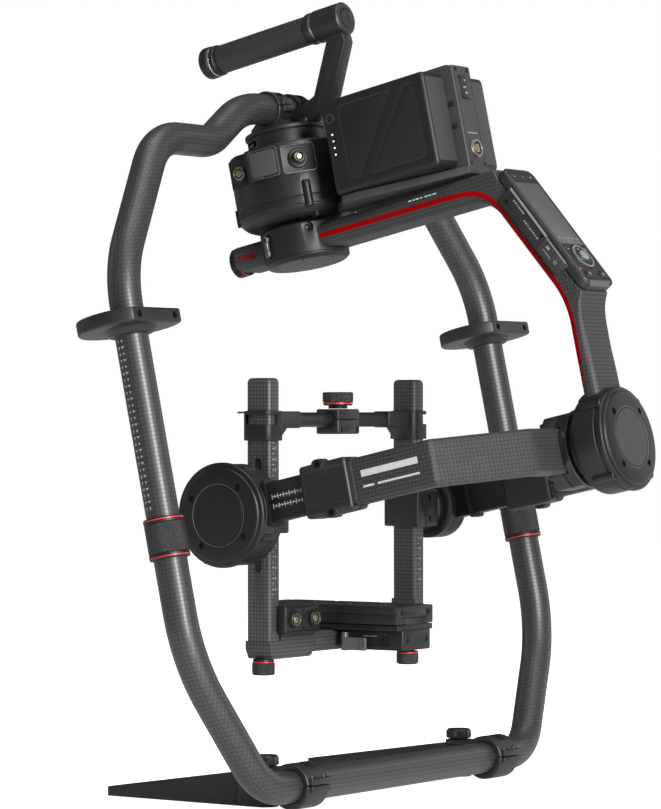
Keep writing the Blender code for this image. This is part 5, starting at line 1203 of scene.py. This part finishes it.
# ------------------------------------------------------------------ yoke, clamps and extensions
YK, EX = "roll_yoke", "extensions"
half_path = [(-YOKE_X, -119.8), (-YOKE_X, -205.4), (-76.1, YOKE_Y)]
yoke_path = half_path + [(-x, y) for x, y in reversed(half_path)]
half_out = [(-182, -110)] + [tuple(q) for q, _ in filleted([(-182, -119), (-182, -212), (-78, -256), (0, -256)], [0, 5, 30, 0], 6)][1:-1]
YOKE_OUT = half_out + [(-x, y) for x, y in reversed(half_out)]
half_in = [(-162, -110)] + [tuple(q) for q, _ in filleted([(-162, -119), (-162, -198.7), (-74.1, -236), (0, -236)], [0, 8, 20, 0], 6)][1:-1]
YOKE_IN = half_in + [(-x, y) for x, y in reversed(half_in)]
yoke_line = dense(filleted(yoke_path, [0, 13, 40, 40, 13, 0], 3.4), 10.0)


def yoke_section(k):
    q, along = yoke_line[k]
    n_in = Vector((-along.y, along.x))
    h_in, h_out = reach_to(YOKE_IN, q, n_in), reach_to(YOKE_OUT, q, -n_in)
    pts = []
    for m, (sx, sy) in enumerate(((1, 1), (-1, 1), (-1, -1), (1, -1))):
        h, r = (h_in, 5.0) if sy > 0 else (h_out, 5.0)
        for i in range(9):
            a = math.radians(90 * m + 90 * i / 8)
            pts.append((sx * (YOKE_H / 2 - r) + r * math.cos(a), sy * (h - r) + r * math.sin(a)))
    return pts


ops = []
for side, sx in SIDES:
    x = sx * YOKE_X
    ops.append(("-", box((x - EXT_T / 2 - 0.35, -170, ROLL_Z - EXT_H / 2 - 0.35), (x + EXT_T / 2 + 0.35, -100, ROLL_Z + EXT_H / 2 + 0.35))))
piece("yoke_body", solid(sweep(yoke_line, in_xy(ROLL_Z), yoke_section), ops), "carbon_diag", YK, "L", "roll_yoke")
for side, sx in SIDES:
    x = sx * YOKE_X
    ops = [("-", box((x - YOKE_T / 2 - 0.35, -140, ROLL_Z - YOKE_H / 2 - 0.35), (x + YOKE_T / 2 + 0.35, -119.4, ROLL_Z + YOKE_H / 2 + 0.35))),
           ("-", box((x - EXT_T / 2 - 0.35, -130, ROLL_Z - EXT_H / 2 - 0.35), (x + EXT_T / 2 + 0.35, -60, ROLL_Z + EXT_H / 2 + 0.35)))]
    fx = x + sx * 14
    grooves = []
    for k in range(15):
        z = ROLL_Z - 15.4 + k * 2.2
        a, b = sorted((fx - sx * 0.55, fx + sx * 2))
        grooves.append(box((a, -121.5, z - 0.45), (b, -76.0, z + 0.45)))
    ops.append(("-", join(*grooves)))
    for zz in (-1, 1):
        a, b = sorted((x + sx * 3.0, fx + sx * 0.5))
        ops.append(("+", prism(rounded(13, 9.6, 4.4, 6, (-97 + zz * 3, ROLL_Z + zz * 22.4)), a, b, "x", 0.9, 2)))
        ops.append(("-", cyl(3.3, *sorted((fx - sx * 1.6, fx + sx * 4)), "x", (-97 + zz * 3, ROLL_Z + zz * 22.4), 32)))
    ops.append(("-", box((x - 1.0, -130, ROLL_Z - 32), (x + 1.0, -60, ROLL_Z - 18))))
    piece(f"arm_clamp_{side}_body", solid(box((x - 14, -123.4, ROLL_Z - 24), (x + 14, -72, ROLL_Z + 24), 3.6, 4), ops, 0.22), "satin", YK, "L", f"arm_clamp_{side}")
    piece(f"arm_clamp_lip_{side}", sweep([(Vector((x, -123.2)), Vector((0, -1))), (Vector((x, -127.0)), Vector((0, -1)))], in_xy(ROLL_Z), rounded(YOKE_H + 1.2, YOKE_T + 1.2, 5.4, 8), rounded(YOKE_H - 0.4, YOKE_T - 0.4, 4.8, 8)), "knurl_ribs", YK)
    screws(f"arm_clamp_screws_{side}", [((fx - sx * 1.5, -97 + zz * 3, ROLL_Z + zz * 22.4), (sx, 0, 0)) for zz in (-1, 1)], YK, "L", 2.8, 1.5, 1.5)
    # plain bars where the maker's lettering would be
    bars = []
    a, b = sorted((x + sx * (YOKE_T / 2 - 0.1), x + sx * (YOKE_T / 2 + 0.14)))
    for y0, y1, z0, z1 in ((-197, -136, 2.2, 8.2), (-197, -152, -7.4, -5.6), (-148, -136, -7.4, -5.6)):
        bars.append(box((a, y0, ROLL_Z + z0), (b, y1, ROLL_Z + z1)))
    piece(f"yoke_bars_{side}", join(*bars), "white", YK)
    ex_ops = [("-", cyl(TILT_R + 0.5 if sx < 0 else 31.0, *sorted((0, sx * 220)), "x", (TILT_Y, TILT_Z), 128))]
    ex_ops.append(("-", prism(rounded(70, 5.0, 2.4, 5, (-62, ROLL_Z)), *sorted((x + sx * (EXT_T / 2 - 1.2), x + sx * 20)), "x")))
    piece(f"arm_ext_{side}", solid(box((x - EXT_T / 2, -141, ROLL_Z - EXT_H / 2), (x + EXT_T / 2, -5, ROLL_Z + EXT_H / 2), 1.6, 3), ex_ops, 0.3), "anodised", EX, "L", f"arm_extension_{side}")
    marks = []
    for zc in (4.4, -4.4):
        lo_y, hi_y = -84.0, -35.8
        a, b = sorted((x + sx * (EXT_T / 2 - 0.1), x + sx * (EXT_T / 2 + 0.13)))
        marks.append(box((a, lo_y, ROLL_Z + zc - 0.22), (b, hi_y, ROLL_Z + zc + 0.22)))
        for i in range(0, 16):
            y = -36 - i * 3.2
            hh = 2.2 if i % 2 == 0 else 1.3
            marks.append(box((a, y - 0.25, ROLL_Z + zc - hh), (b, y + 0.25, ROLL_Z + zc + hh)))
    piece(f"arm_scale_{side}", join(*marks), "white", EX)
    piece(f"arm_ext_root_{side}", sweep([(Vector((x, -27.4)), Vector((0, -1))), (Vector((x, -31.2)), Vector((0, -1)))], in_xy(ROLL_Z), rounded(EXT_H + 6.0, EXT_T + 4.6, 4.0, 6), rounded(EXT_H - 0.3, EXT_T - 0.3, 1.6, 6)), "anodised", EX)

# ------------------------------------------------------------------ tilt motor and bearing
tc = (TILT_Y, TILT_Z)
prof = [(0, -153), (40, -153), (44.5, -155), (TILT_R, -158), (TILT_R, -166.6), (45.9, -166.8), (45.9, -167.4), (TILT_R, -167.6), (TILT_R, -183), (45.6, -183.6), (45.6, -185), (TILT_R, -185.4), (TILT_R, -186), (0, -186)]
ops = []
TB = (52, 128, 218, 308)
for az in TB:
    a = math.radians(az)
    ops.append(("+", lathe([(0, -166), (1.5, -166), (4.2, -170), (4.2, -186), (0, -186)], "x", (TILT_Y + 45.4 * math.cos(a), TILT_Z + 45.4 * math.sin(a)), 32, rnd=0.3)))
piece("tilt_motor", solid(lathe(prof, "x", tc, 160, rnd=0.5), ops, 0.35), "anodised", EX, "L", "tilt_motor_housing")
screws("tilt_motor_screws", [((-165.9, TILT_Y + 45.4 * math.cos(math.radians(a)), TILT_Z + 45.4 * math.sin(math.radians(a))), (1, 0, 0)) for a in TB], EX, "L", 1.4, 0.8, 0.7)
motor_cap("tilt_cap", "x", tc, -186.4, -1, EX, "tilt_motor_cap", "L", (38, 142, 226, 316), "cap")
prof = [(0, 153), (27, 153), (30.5, 155), (30.5, 163), (29.9, 163.3), (29.9, 164.2), (30.5, 164.5), (30.5, 181), (28, 184), (20.4, 184), (19.6, 182.8), (0, 182.8)]
piece("tilt_bearing", solid(lathe(prof, "x", tc, 128, rnd=0.4), [("-", cyl(2.6, 182, 190, "x", (TILT_Y + 24 * math.cos(a), TILT_Z + 24 * math.sin(a)), 24)) for a in (0.8, 2.3, 3.9, 5.5)], 0.2), "anodised", EX, "L", "tilt_bearing_housing")
screws("tilt_bearing_screws", [((182.1, TILT_Y + 24 * math.cos(a), TILT_Z + 24 * math.sin(a)), (1, 0, 0)) for a in (0.8, 2.3, 3.9, 5.5)] + [((182.6, TILT_Y, TILT_Z), (1, 0, 0))], EX, "L", 2.1, 1.4, 1.0)

TR = "tilt_rotors"
wc = (AX_Y, AX_Z)
for side, sx in SIDES:
    r = 28 if sx < 0 else 22
    body = box((min(sx * 147, sx * 109.5), AX_Y - 20, AX_Z - 18), (max(sx * 147, sx * 109.5), AX_Y + 20, AX_Z + 18), 2.0, 4)
    ops = [("+", lathe([(0, sx * 152.5), (r, sx * 152.5), (r, sx * 147), (19, sx * 145), (0, sx * 145)], "x", wc, 96, rnd=0.4)),
           ("-", box((sx * UP_X - UP_W / 2 - 0.4, AX_Y - UP_D / 2 - 0.4, AX_Z - 40), (sx * UP_X + UP_W / 2 + 0.4, AX_Y + UP_D / 2 + 0.4, AX_Z + 40))),
           ("-", box((sx * UP_X - 1, AX_Y - 30, AX_Z - 40), (sx * UP_X + 0.2, AX_Y - UP_D / 2, AX_Z + 40)))]
    for zz in (-10, 10):
        ops.append(("-", cyl(3.0, AX_Y - 30, AX_Y - 18.4, "y", (sx * (UP_X + 7.5), AX_Z + zz), 24)))
    piece(f"tilt_rotor_{side}_body", solid(body, ops, 0.35), "satin", TR, "W", f"tilt_rotor_{side}")
    screws(f"tilt_rotor_screws_{side}", [((sx * (UP_X + 7.5), AX_Y - 18.6, AX_Z + zz), (0, -1, 0)) for zz in (-10, 10)], TR, "W", 2.4, 1.2, 1.2)

# ------------------------------------------------------------------ camera cage
CG = "cage"
ylo, yhi = AX_Y - UP_D / 2, AX_Y + UP_D / 2
for side, sx in SIDES:
    x = sx * UP_X
    ops = []
    for z in (217.4, 309.0):
        ops.append(("-", prism([(AX_Y + 4.2 * math.cos(t), z + (2.6 if math.sin(t) > 0 else -2.6) + 4.2 * math.sin(t)) for t in [2 * math.pi * (i + 0.5) / 32 for i in range(32)]], *sorted((x + sx * 6.8, x + sx * 20)), "x")))
    ops.append(("-", cyl(2.2, UP_HI - 3, UP_HI + 3, "z", (x, AX_Y), 24)))
    ops.append(("-", prism([(x + sx * 12, 141.5), (x + sx * 9.1, 139.4), (x + sx * 4.4, 130), (x + sx * 12, 130)], ylo - 2, yhi + 2, "y")))
    # black sheets at the floors of the upright's shallow slots: painted shade
    piece(f"upright_hole_shade_{side}", join(*[prism([(AX_Y + 4.1 * math.cos(t), z + (2.5 if math.sin(t) > 0 else -2.5) + 4.1 * math.sin(t)) for t in [2 * math.pi * (i + 0.5) / 32 for i in range(32)]], *sorted((x + sx * 6.6, x + sx * 7.4)), "x") for z in (217.4, 309.0)]), "joint_black_and_painted_shade", CG, "W")
    piece(f"upright_{side}", solid(box((x - UP_W / 2, ylo, UP_LO), (x + UP_W / 2, yhi, UP_HI), 4.6, 6), ops, 0.25), "carbon_fine", CG, "W", f"stage_upright_{side}", uvbox=True)
    marks = []
    for i in range(0, 29):
        z = 190 + i * 5.0
        if 243 < z < 287:
            continue
        marks.append(stand(plate_mark(0, 0, 2.6 if i % 2 else 1.7, 0.5), (x - 3.4, ylo, z), (0, -1, 0)))
        if i % 2:
            marks.append(stand(join(plate_mark(0, 0.8, 1.5, 0.45), plate_mark(0.5, 0, 0.45, 1.9), plate_mark(0, -0.8, 1.1, 0.45)), (x + 0.2, ylo, z), (0, -1, 0)))
    piece(f"upright_scale_{side}", join(*marks), "white", CG, "W")
    screws(f"upright_screw_{side}", [((x, AX_Y, UP_HI - 3), (0, 0, 1))], CG, "W", 2.0, 1.6, 1.0)
inner = UP_X - UP_W / 2 - GAP
for side, sx in SIDES:
    foot_line = [(-132.45, 147), (-132.45, 139.2), (-127.8, 130.4), (-68, 130.4), (-63.6, 132.8), (-62.4, 139), (-57.6, 142.4), (-57.6, 153.3), (-105, 153.3), (-110.6, 155.6), (-113.4, 161), (-113.9, 176), (-114.6, 176), (-114.6, 147)]
    foot_line = [(-sx * a, b) for a, b in foot_line]
    piece(f"stage_corner_{side}", prism(foot_line, ylo - 0.5, yhi + 0.5, "y", 1.3, 3), "carbon_fine", CG, "W", uvbox=True)
piece("cross_body", solid(box((-inner, ylo, UP_LO), (inner, yhi, 153), 2.6, 4), [("-", join(*[cyl(3.2, ylo - 2, ylo + 3, "y", (x, 143.5), 28) for x in (-96, -60, 60, 96)]))], 0.25), "carbon_fine", CG, "W", "stage_cross_member", uvbox=True)
screws("cross_screws", [((x, ylo + 2.8, 143.5), (0, -1, 0)) for x in (-96, -60, 60, 96)], CG, "W", 2.5, 1.3, 1.2)

CK = "cage_knob"
piece("cage_knob_core", lathe([(0, 115.5), (9.6, 115.5), (10.2, 116.3), (10.2, 126.6), (9.8, 126.9), (9.8, 130.1), (0, 130.1)], "z", (-UP_X, AX_Y), 80, rnd=0.3), "anodised", CK, "W", "stage_height_knob")
piece("cage_knob_grip", lathe([(10.0, 116.5), (10.6, 117.0), (10.6, 126.0), (10.0, 126.4)], "z", (-UP_X, AX_Y), 96, rnd=0.2), "knurl", CK, "W")
piece("cage_knob_ring", lathe([(9.6, 126.9), (10.4, 127.0), (10.4, 127.8), (9.6, 127.9)], "z", (-UP_X, AX_Y), 80, rnd=0.1), "red_ring", CK, "W")

ops = [("-", box((-121.0, 44, 155.2), (-67.4, 46.6, 178.0), 0.8)), ("+", box((-120.4, 45.9, 155.8), (-68.0, 48, 177.4), 0.6))]
for x in (-109.0, -77):
    ops.append(("+", lathe([(0, 47), (8.4, 47), (8.4, 42.2), (7.6, 41.4), (6.4, 41.4), (6.4, 44.5), (0, 44.5)], "y", (x, 166.6), 48, rnd=0.2)))
piece("ports_body", solid(prism([(-122.4, 45.5), (-66, 45.5), (-66, 79), (-113.4, 79), (-113.4, 55.4), (-122.4, 55.4)], 153.6, 179.5, "z", 1.8, 4), ops, 0.25), "anodised", CG, "W", "port_block")
for tag, x in (("c", -109.0), ("d", -77)):
    socket(6.3, 3.4, f"port_{tag}", (x, 44.4, 166.6), (0, -1, 0), "W", CG)
screws("ports_screws", [((x, 45.9, z), (0, -1, 0)) for x in (-93.0, -70.4) for z in (158.2, 175)], CG, "W", 1.3, 0.5, 0.6)

ops = [("+", prism([(-16, 158), (16, 158), (16, 159.4), (20, 165), (-20, 165), (-16, 159.4)], -17, 129, "y")), ("+", box((-24, -19.5, 135), (24, 51, 154.5), 1.8, 3)), ("+", box((-24, yhi + 0.5, 138), (24, yhi + 11, 154.5), 1.4)),
       ("-", box((-25, -4, 139), (-23.2, 40, 151), 0.6)), ("-", box((-31, 10, 155.4), (-29.2, 44, 157.2), 0.4)), ("-", join(*[cyl(2.9, -21, -18.2, "y", (x, 145), 28) for x in (-16, 16)]))]
piece("receiver_body", solid(box((-30, -18, 153.5), (30, 130, 159.1), 1.0), ops, 0.3), "anodised", CG, "W", "plate_receiver")
screws("receiver_screws", [((x, -18.4, 145), (0, -1, 0)) for x in (-16, 16)] + [((-24 + 0.7, y, 145), (-1, 0, 0)) for y in (2, 34)], CG, "W", 2.3, 1.1, 1.1)
piece("receiver_marks", join(*[stand(plate_mark(dx, 0, w, 1.0), (-24 + 0.75, 18, 148), (-1, 0, 0)) for dx, w in ((-6, 2), (-3, 2.4), (0.4, 1.8), (3.4, 2.2), (6.6, 2))]), "grey_print", CG, "W")
PK = "plate_knob"
piece("plate_knob_core", lathe([(0, 121.5), (8.6, 121.5), (9.4, 122.3), (9.4, 132.2), (10.1, 132.6), (10.1, 133.6), (9.4, 134), (6.5, 134), (6.5, 134.6), (0, 134.6)], "z", (0, -9), 80, rnd=0.3), "anodised", PK, "W", "plate_knob")
piece("plate_knob_grip", lathe([(9.6, 122.4), (10.4, 122.9), (10.4, 131.2), (9.6, 131.6)], "z", (0, -9), 96, rnd=0.2), "knurl", PK, "W")
piece("plate_knob_ring", lathe([(9.2, 131.7), (10.3, 131.8), (10.3, 132.7), (9.2, 132.8)], "z", (0, -9), 80, rnd=0.1), "red_ring", PK, "W")
lv = solid(box((-31.4, 18, 134.5), (-27.8, 44, 146.5), 1.0, 3), [("+", cyl(3.4, 134, 151, "z", (-28.2, 43), 40)), ("-", join(*[box((-32, y, 136), (-31.0, y + 1.0, 145)) for y in (19.6, 22.0, 24.4)]))], 0.2)
piece("plate_lever_body", lv, "edge", "plate_lever", "W", "plate_lever")

top = 176.5
female = [(-32, 159.6), (-16.6, 159.6), (-20.7, 165.5), (20.7, 165.5), (16.6, 159.6), (32, 159.6), (32, top - 1.2), (30.8, top), (-30.8, top), (-32, top - 1.2)]
ops = []
for y in (20, 60, 100):
    ops.append(("-", prism([(x + (8 if x > 0 else -8), yy + y) for x, yy in circle(3.3, 32)], 168, 190, "z")))
    ops.append(("-", prism([(x + (8 if x > 0 else -8), yy + y) for x, yy in circle(5.2, 32)], 174.4, 190, "z")))
ops.append(("-", join(box((-33, -20, 168.4), (-31.4, 160, 169.4)), box((31.4, -20, 168.4), (33, 160, 169.4)))))
ops.append(("-", join(*[cyl(2.7, -20, -15.4, "y", (x, 170.4), 28) for x in (-22, 22)])))
piece("plate_body", solid(prism(female, -17, 150, "y", 0.5, 2), ops, 0.3), "anodised", "camera_plate", "W", "camera_plate")
screws("plate_screws", [((x, -15.6, 170.4), (0, -1, 0)) for x in (-22, 22)], "camera_plate", "W", 2.2, 1.0, 1.0)
piece("plate_pads", join(*[box((sx2 * 24 - 4, y, top - 0.2), (sx2 * 24 + 4, y + 46, top + 0.5), 0.25) for sx2 in (-1, 1) for y in (-10, 40, 92)]), "rubber", "camera_plate", "W")
piece("plate_stop", join(box((-6, 146.6, 165.8), (6, 151.2, 171.5), 0.6)), "steel", "camera_plate", "W")

# ------------------------------------------------------------------ top crossbar
ROD_Z = 351.2
CB = "crossbar"
ops = []
for sx in (-1, 1):
    a, b = sorted((sx * 110.2, sx * 136.5))
    ops.append(("+", prism(rounded(b - a, 31.6, 7.0, 7, ((a + b) / 2, AX_Y)), 332, 359.6, "z", 1.0, 3)))
    a, b = sorted((sx * 74, sx * 113))
    ops.append(("+", box((a, AX_Y - 10, 343.4), (b, AX_Y + 10, 359.2), 2.6, 4)))
    web = [(sx * 113, 332.6), (sx * 110, 332.6), (sx * 95.5, 345.5), (sx * 95.5, 350), (sx * 113, 350)]
    ops.append(("+", prism(web, AX_Y - 9.6, AX_Y + 9.6, "y", 0.8, 2)))
    ops.append(("-", box((sx * UP_X - UP_W / 2 - 0.4, ylo - 0.4, 320), (sx * UP_X + UP_W / 2 + 0.4, yhi + 0.4, 370))))
    a, b = sorted((sx * 131, sx * 142))
    ops.append(("-", box((a, AX_Y - 20, 346.5), (b, AX_Y + 12.5, 356.0), 2.4, 4)))
    a, b = sorted((sx * 123.5, sx * 142))
    ops.append(("-", box((a, AX_Y - 20, 346.5), (b, AX_Y - 12.6, 356.0), 2.0, 4)))
    ops.append(("-", cyl(2.2, 357.6, 364, "z", (sx * 98, AX_Y), 28)))
piece("crossbar_body", solid(cyl(7.0, -118, 118, "x", (AX_Y, ROD_Z), 64), ops, 0.35), "anodised", CB, "W", "top_crossbar")
screws("crossbar_screws", [((sx * 98, AX_Y, 357.8), (0, 0, 1)) for sx in (-1, 1)], CB, "W", 2.1, 1.0, 1.0)
piece("crossbar_flags", join(*[box((sx * 131 - 5.0, AX_Y + 8, 357.2), (sx * 131 + 5.0, AX_Y + 20.5, 358.9), 0.5) for sx in (-1, 1)]), "satin", CB, "W")
SL = "crossbar_slider"
ops = [("-", cyl(7.5, -30, 30, "x", (AX_Y, ROD_Z), 64)), ("-", box((-30, AX_Y - 20, ROD_Z - 0.5), (30, AX_Y - 6, ROD_Z + 0.5))), ("-", join(*[cyl(2.6, AX_Y - 15, AX_Y - 11.8, "y", (x, 341.8), 28) for x in (-13, 13)]))]
piece("slider_body", solid(box((-18.5, AX_Y - 13, 337.5), (18.5, AX_Y + 13, 361.3), 2.0, 3), ops, 0.3), "satin", SL, "W", "crossbar_slider")
screws("slider_screws", [((x, AX_Y - 12, 341.8), (0, -1, 0)) for x in (-13, 13)], SL, "W", 2.1, 1.0, 1.0)
KN = "crossbar_knob"
piece("top_knob_core", lathe([(0, 361.7), (9, 361.7), (9, 364.6), (13.0, 364.6), (13.8, 365.2), (13.8, 366.6), (12.9, 367), (12.9, 376.2), (12.0, 377.4), (8, 377.4), (7.6, 376.6), (0, 376.6)], "z", (0, AX_Y), 96, rnd=0.3), "anodised", KN, "W", "crossbar_knob")
piece("top_knob_grip", lathe([(13.2, 367.5), (14.6, 368.1), (14.6, 376.6), (13.4, 377.4), (12.4, 377.4)], "z", (0, AX_Y), 128, rnd=0.3), "knurl", KN, "W")
piece("top_knob_ring", lathe([(12.9, 366.0), (14.4, 366.1), (14.4, 367.3), (12.9, 367.4)], "z", (0, AX_Y), 96, rnd=0.1), "red_ring", KN, "W")

# ------------------------------------------------------------------ stage, light and camera
floor = bpy.data.objects.new("floor", bpy.data.meshes.new("floor"))
bmf = bmesh.new()
bmesh.ops.create_grid(bmf, x_segments=1, y_segments=1, size=6)
bmf.to_mesh(floor.data)
bmf.free()
bpy.context.scene.collection.objects.link(floor)
floor.location = (0, 0, -0.0005)
fm = bpy.data.materials.new("floor")
fm.use_nodes = True
fb_ = fm.node_tree.nodes["Principled BSDF"]
fb_.inputs["Base Color"].default_value = (0.93, 0.93, 0.93, 1)
fb_.inputs["Roughness"].default_value = 0.9
fb_.inputs["Emission Color"].default_value = (1, 1, 1, 1)
fl_ray = fm.node_tree.nodes.new("ShaderNodeLightPath")
fl_mix = fm.node_tree.nodes.new("ShaderNodeMath")
fl_mix.operation = "MULTIPLY_ADD"
fl_mix.inputs[1].default_value = 0.83
fl_mix.inputs[2].default_value = 0.09
fm.node_tree.links.new(fl_ray.outputs["Is Camera Ray"], fl_mix.inputs[0])
fm.node_tree.links.new(fl_mix.outputs[0], fb_.inputs["Emission Strength"])
floor.data.materials.append(fm)

scene = bpy.context.scene
world = bpy.data.worlds.new("studio")
scene.world = world
world.use_nodes = True
wt = world.node_tree
for n in list(wt.nodes):
    wt.nodes.remove(n)
outw = wt.nodes.new("ShaderNodeOutputWorld")
mixw = wt.nodes.new("ShaderNodeMixShader")
lp = wt.nodes.new("ShaderNodeLightPath")
bgc = wt.nodes.new("ShaderNodeBackground")
bgc.inputs[0].default_value = (1, 1, 1, 1)
bgc.inputs[1].default_value = 1.0
bgl = wt.nodes.new("ShaderNodeBackground")
bgl.inputs[0].default_value = (1, 1, 1, 1)
bgl.inputs[1].default_value = 0.13
wt.links.new(lp.outputs["Is Camera Ray"], mixw.inputs[0])
wt.links.new(bgl.outputs[0], mixw.inputs[1])
wt.links.new(bgc.outputs[0], mixw.inputs[2])
wt.links.new(mixw.outputs[0], outw.inputs[0])


def area(name, loc, target, size, power, size_y=None):
    l = bpy.data.lights.new(name, "AREA")
    l.energy = power
    l.shape = "RECTANGLE"
    l.size = size
    l.size_y = size_y or size
    ob = bpy.data.objects.new(name, l)
    bpy.context.scene.collection.objects.link(ob)
    ob.location = loc
    ob.rotation_euler = (Vector(target) - Vector(loc)).to_track_quat("-Z", "Y").to_euler()
    return ob


area("front_key", (-1.35, -2.45, 1.2), (0, 0, 0.38), 0.8, 140, 1.6)
area("right_rim", (2.7, -0.9, 0.9), (0, 0, 0.35), 1.6, 13, 2.4)
area("left_rim", (-0.9, 2.8, 1.3), (0, 0, 0.4), 0.8, 6, 2.0)
area("top", (-0.2, -0.3, 3.0), (0, 0, 0.3), 1.8, 34)

cam = bpy.data.cameras.new("camera")
co = bpy.data.objects.new("camera", cam)
scene.collection.objects.link(co)
yaw, pitch, roll = math.radians(55.7997), math.radians(0.134), math.radians(-0.070)
fwd = Vector((math.sin(yaw) * math.cos(pitch), math.cos(yaw) * math.cos(pitch), math.sin(pitch)))
right = Vector((math.cos(yaw), -math.sin(yaw), 0))
upv = right.cross(fwd)
rot = Matrix((right, upv, -fwd)).transposed() @ Matrix.Rotation(roll, 3, "Z")
co.matrix_world = Matrix.Translation((-2.84204, -1.85331 + ORIGIN_Y / 1000, 0.35759)) @ rot.to_4x4()
cam.sensor_fit = "AUTO"
cam.sensor_width = 36
cam.lens = 160.25
scene.camera = co
scene.view_settings.view_transform = "Standard"
scene.view_settings.look = "None"

bpy.context.view_layer.update()
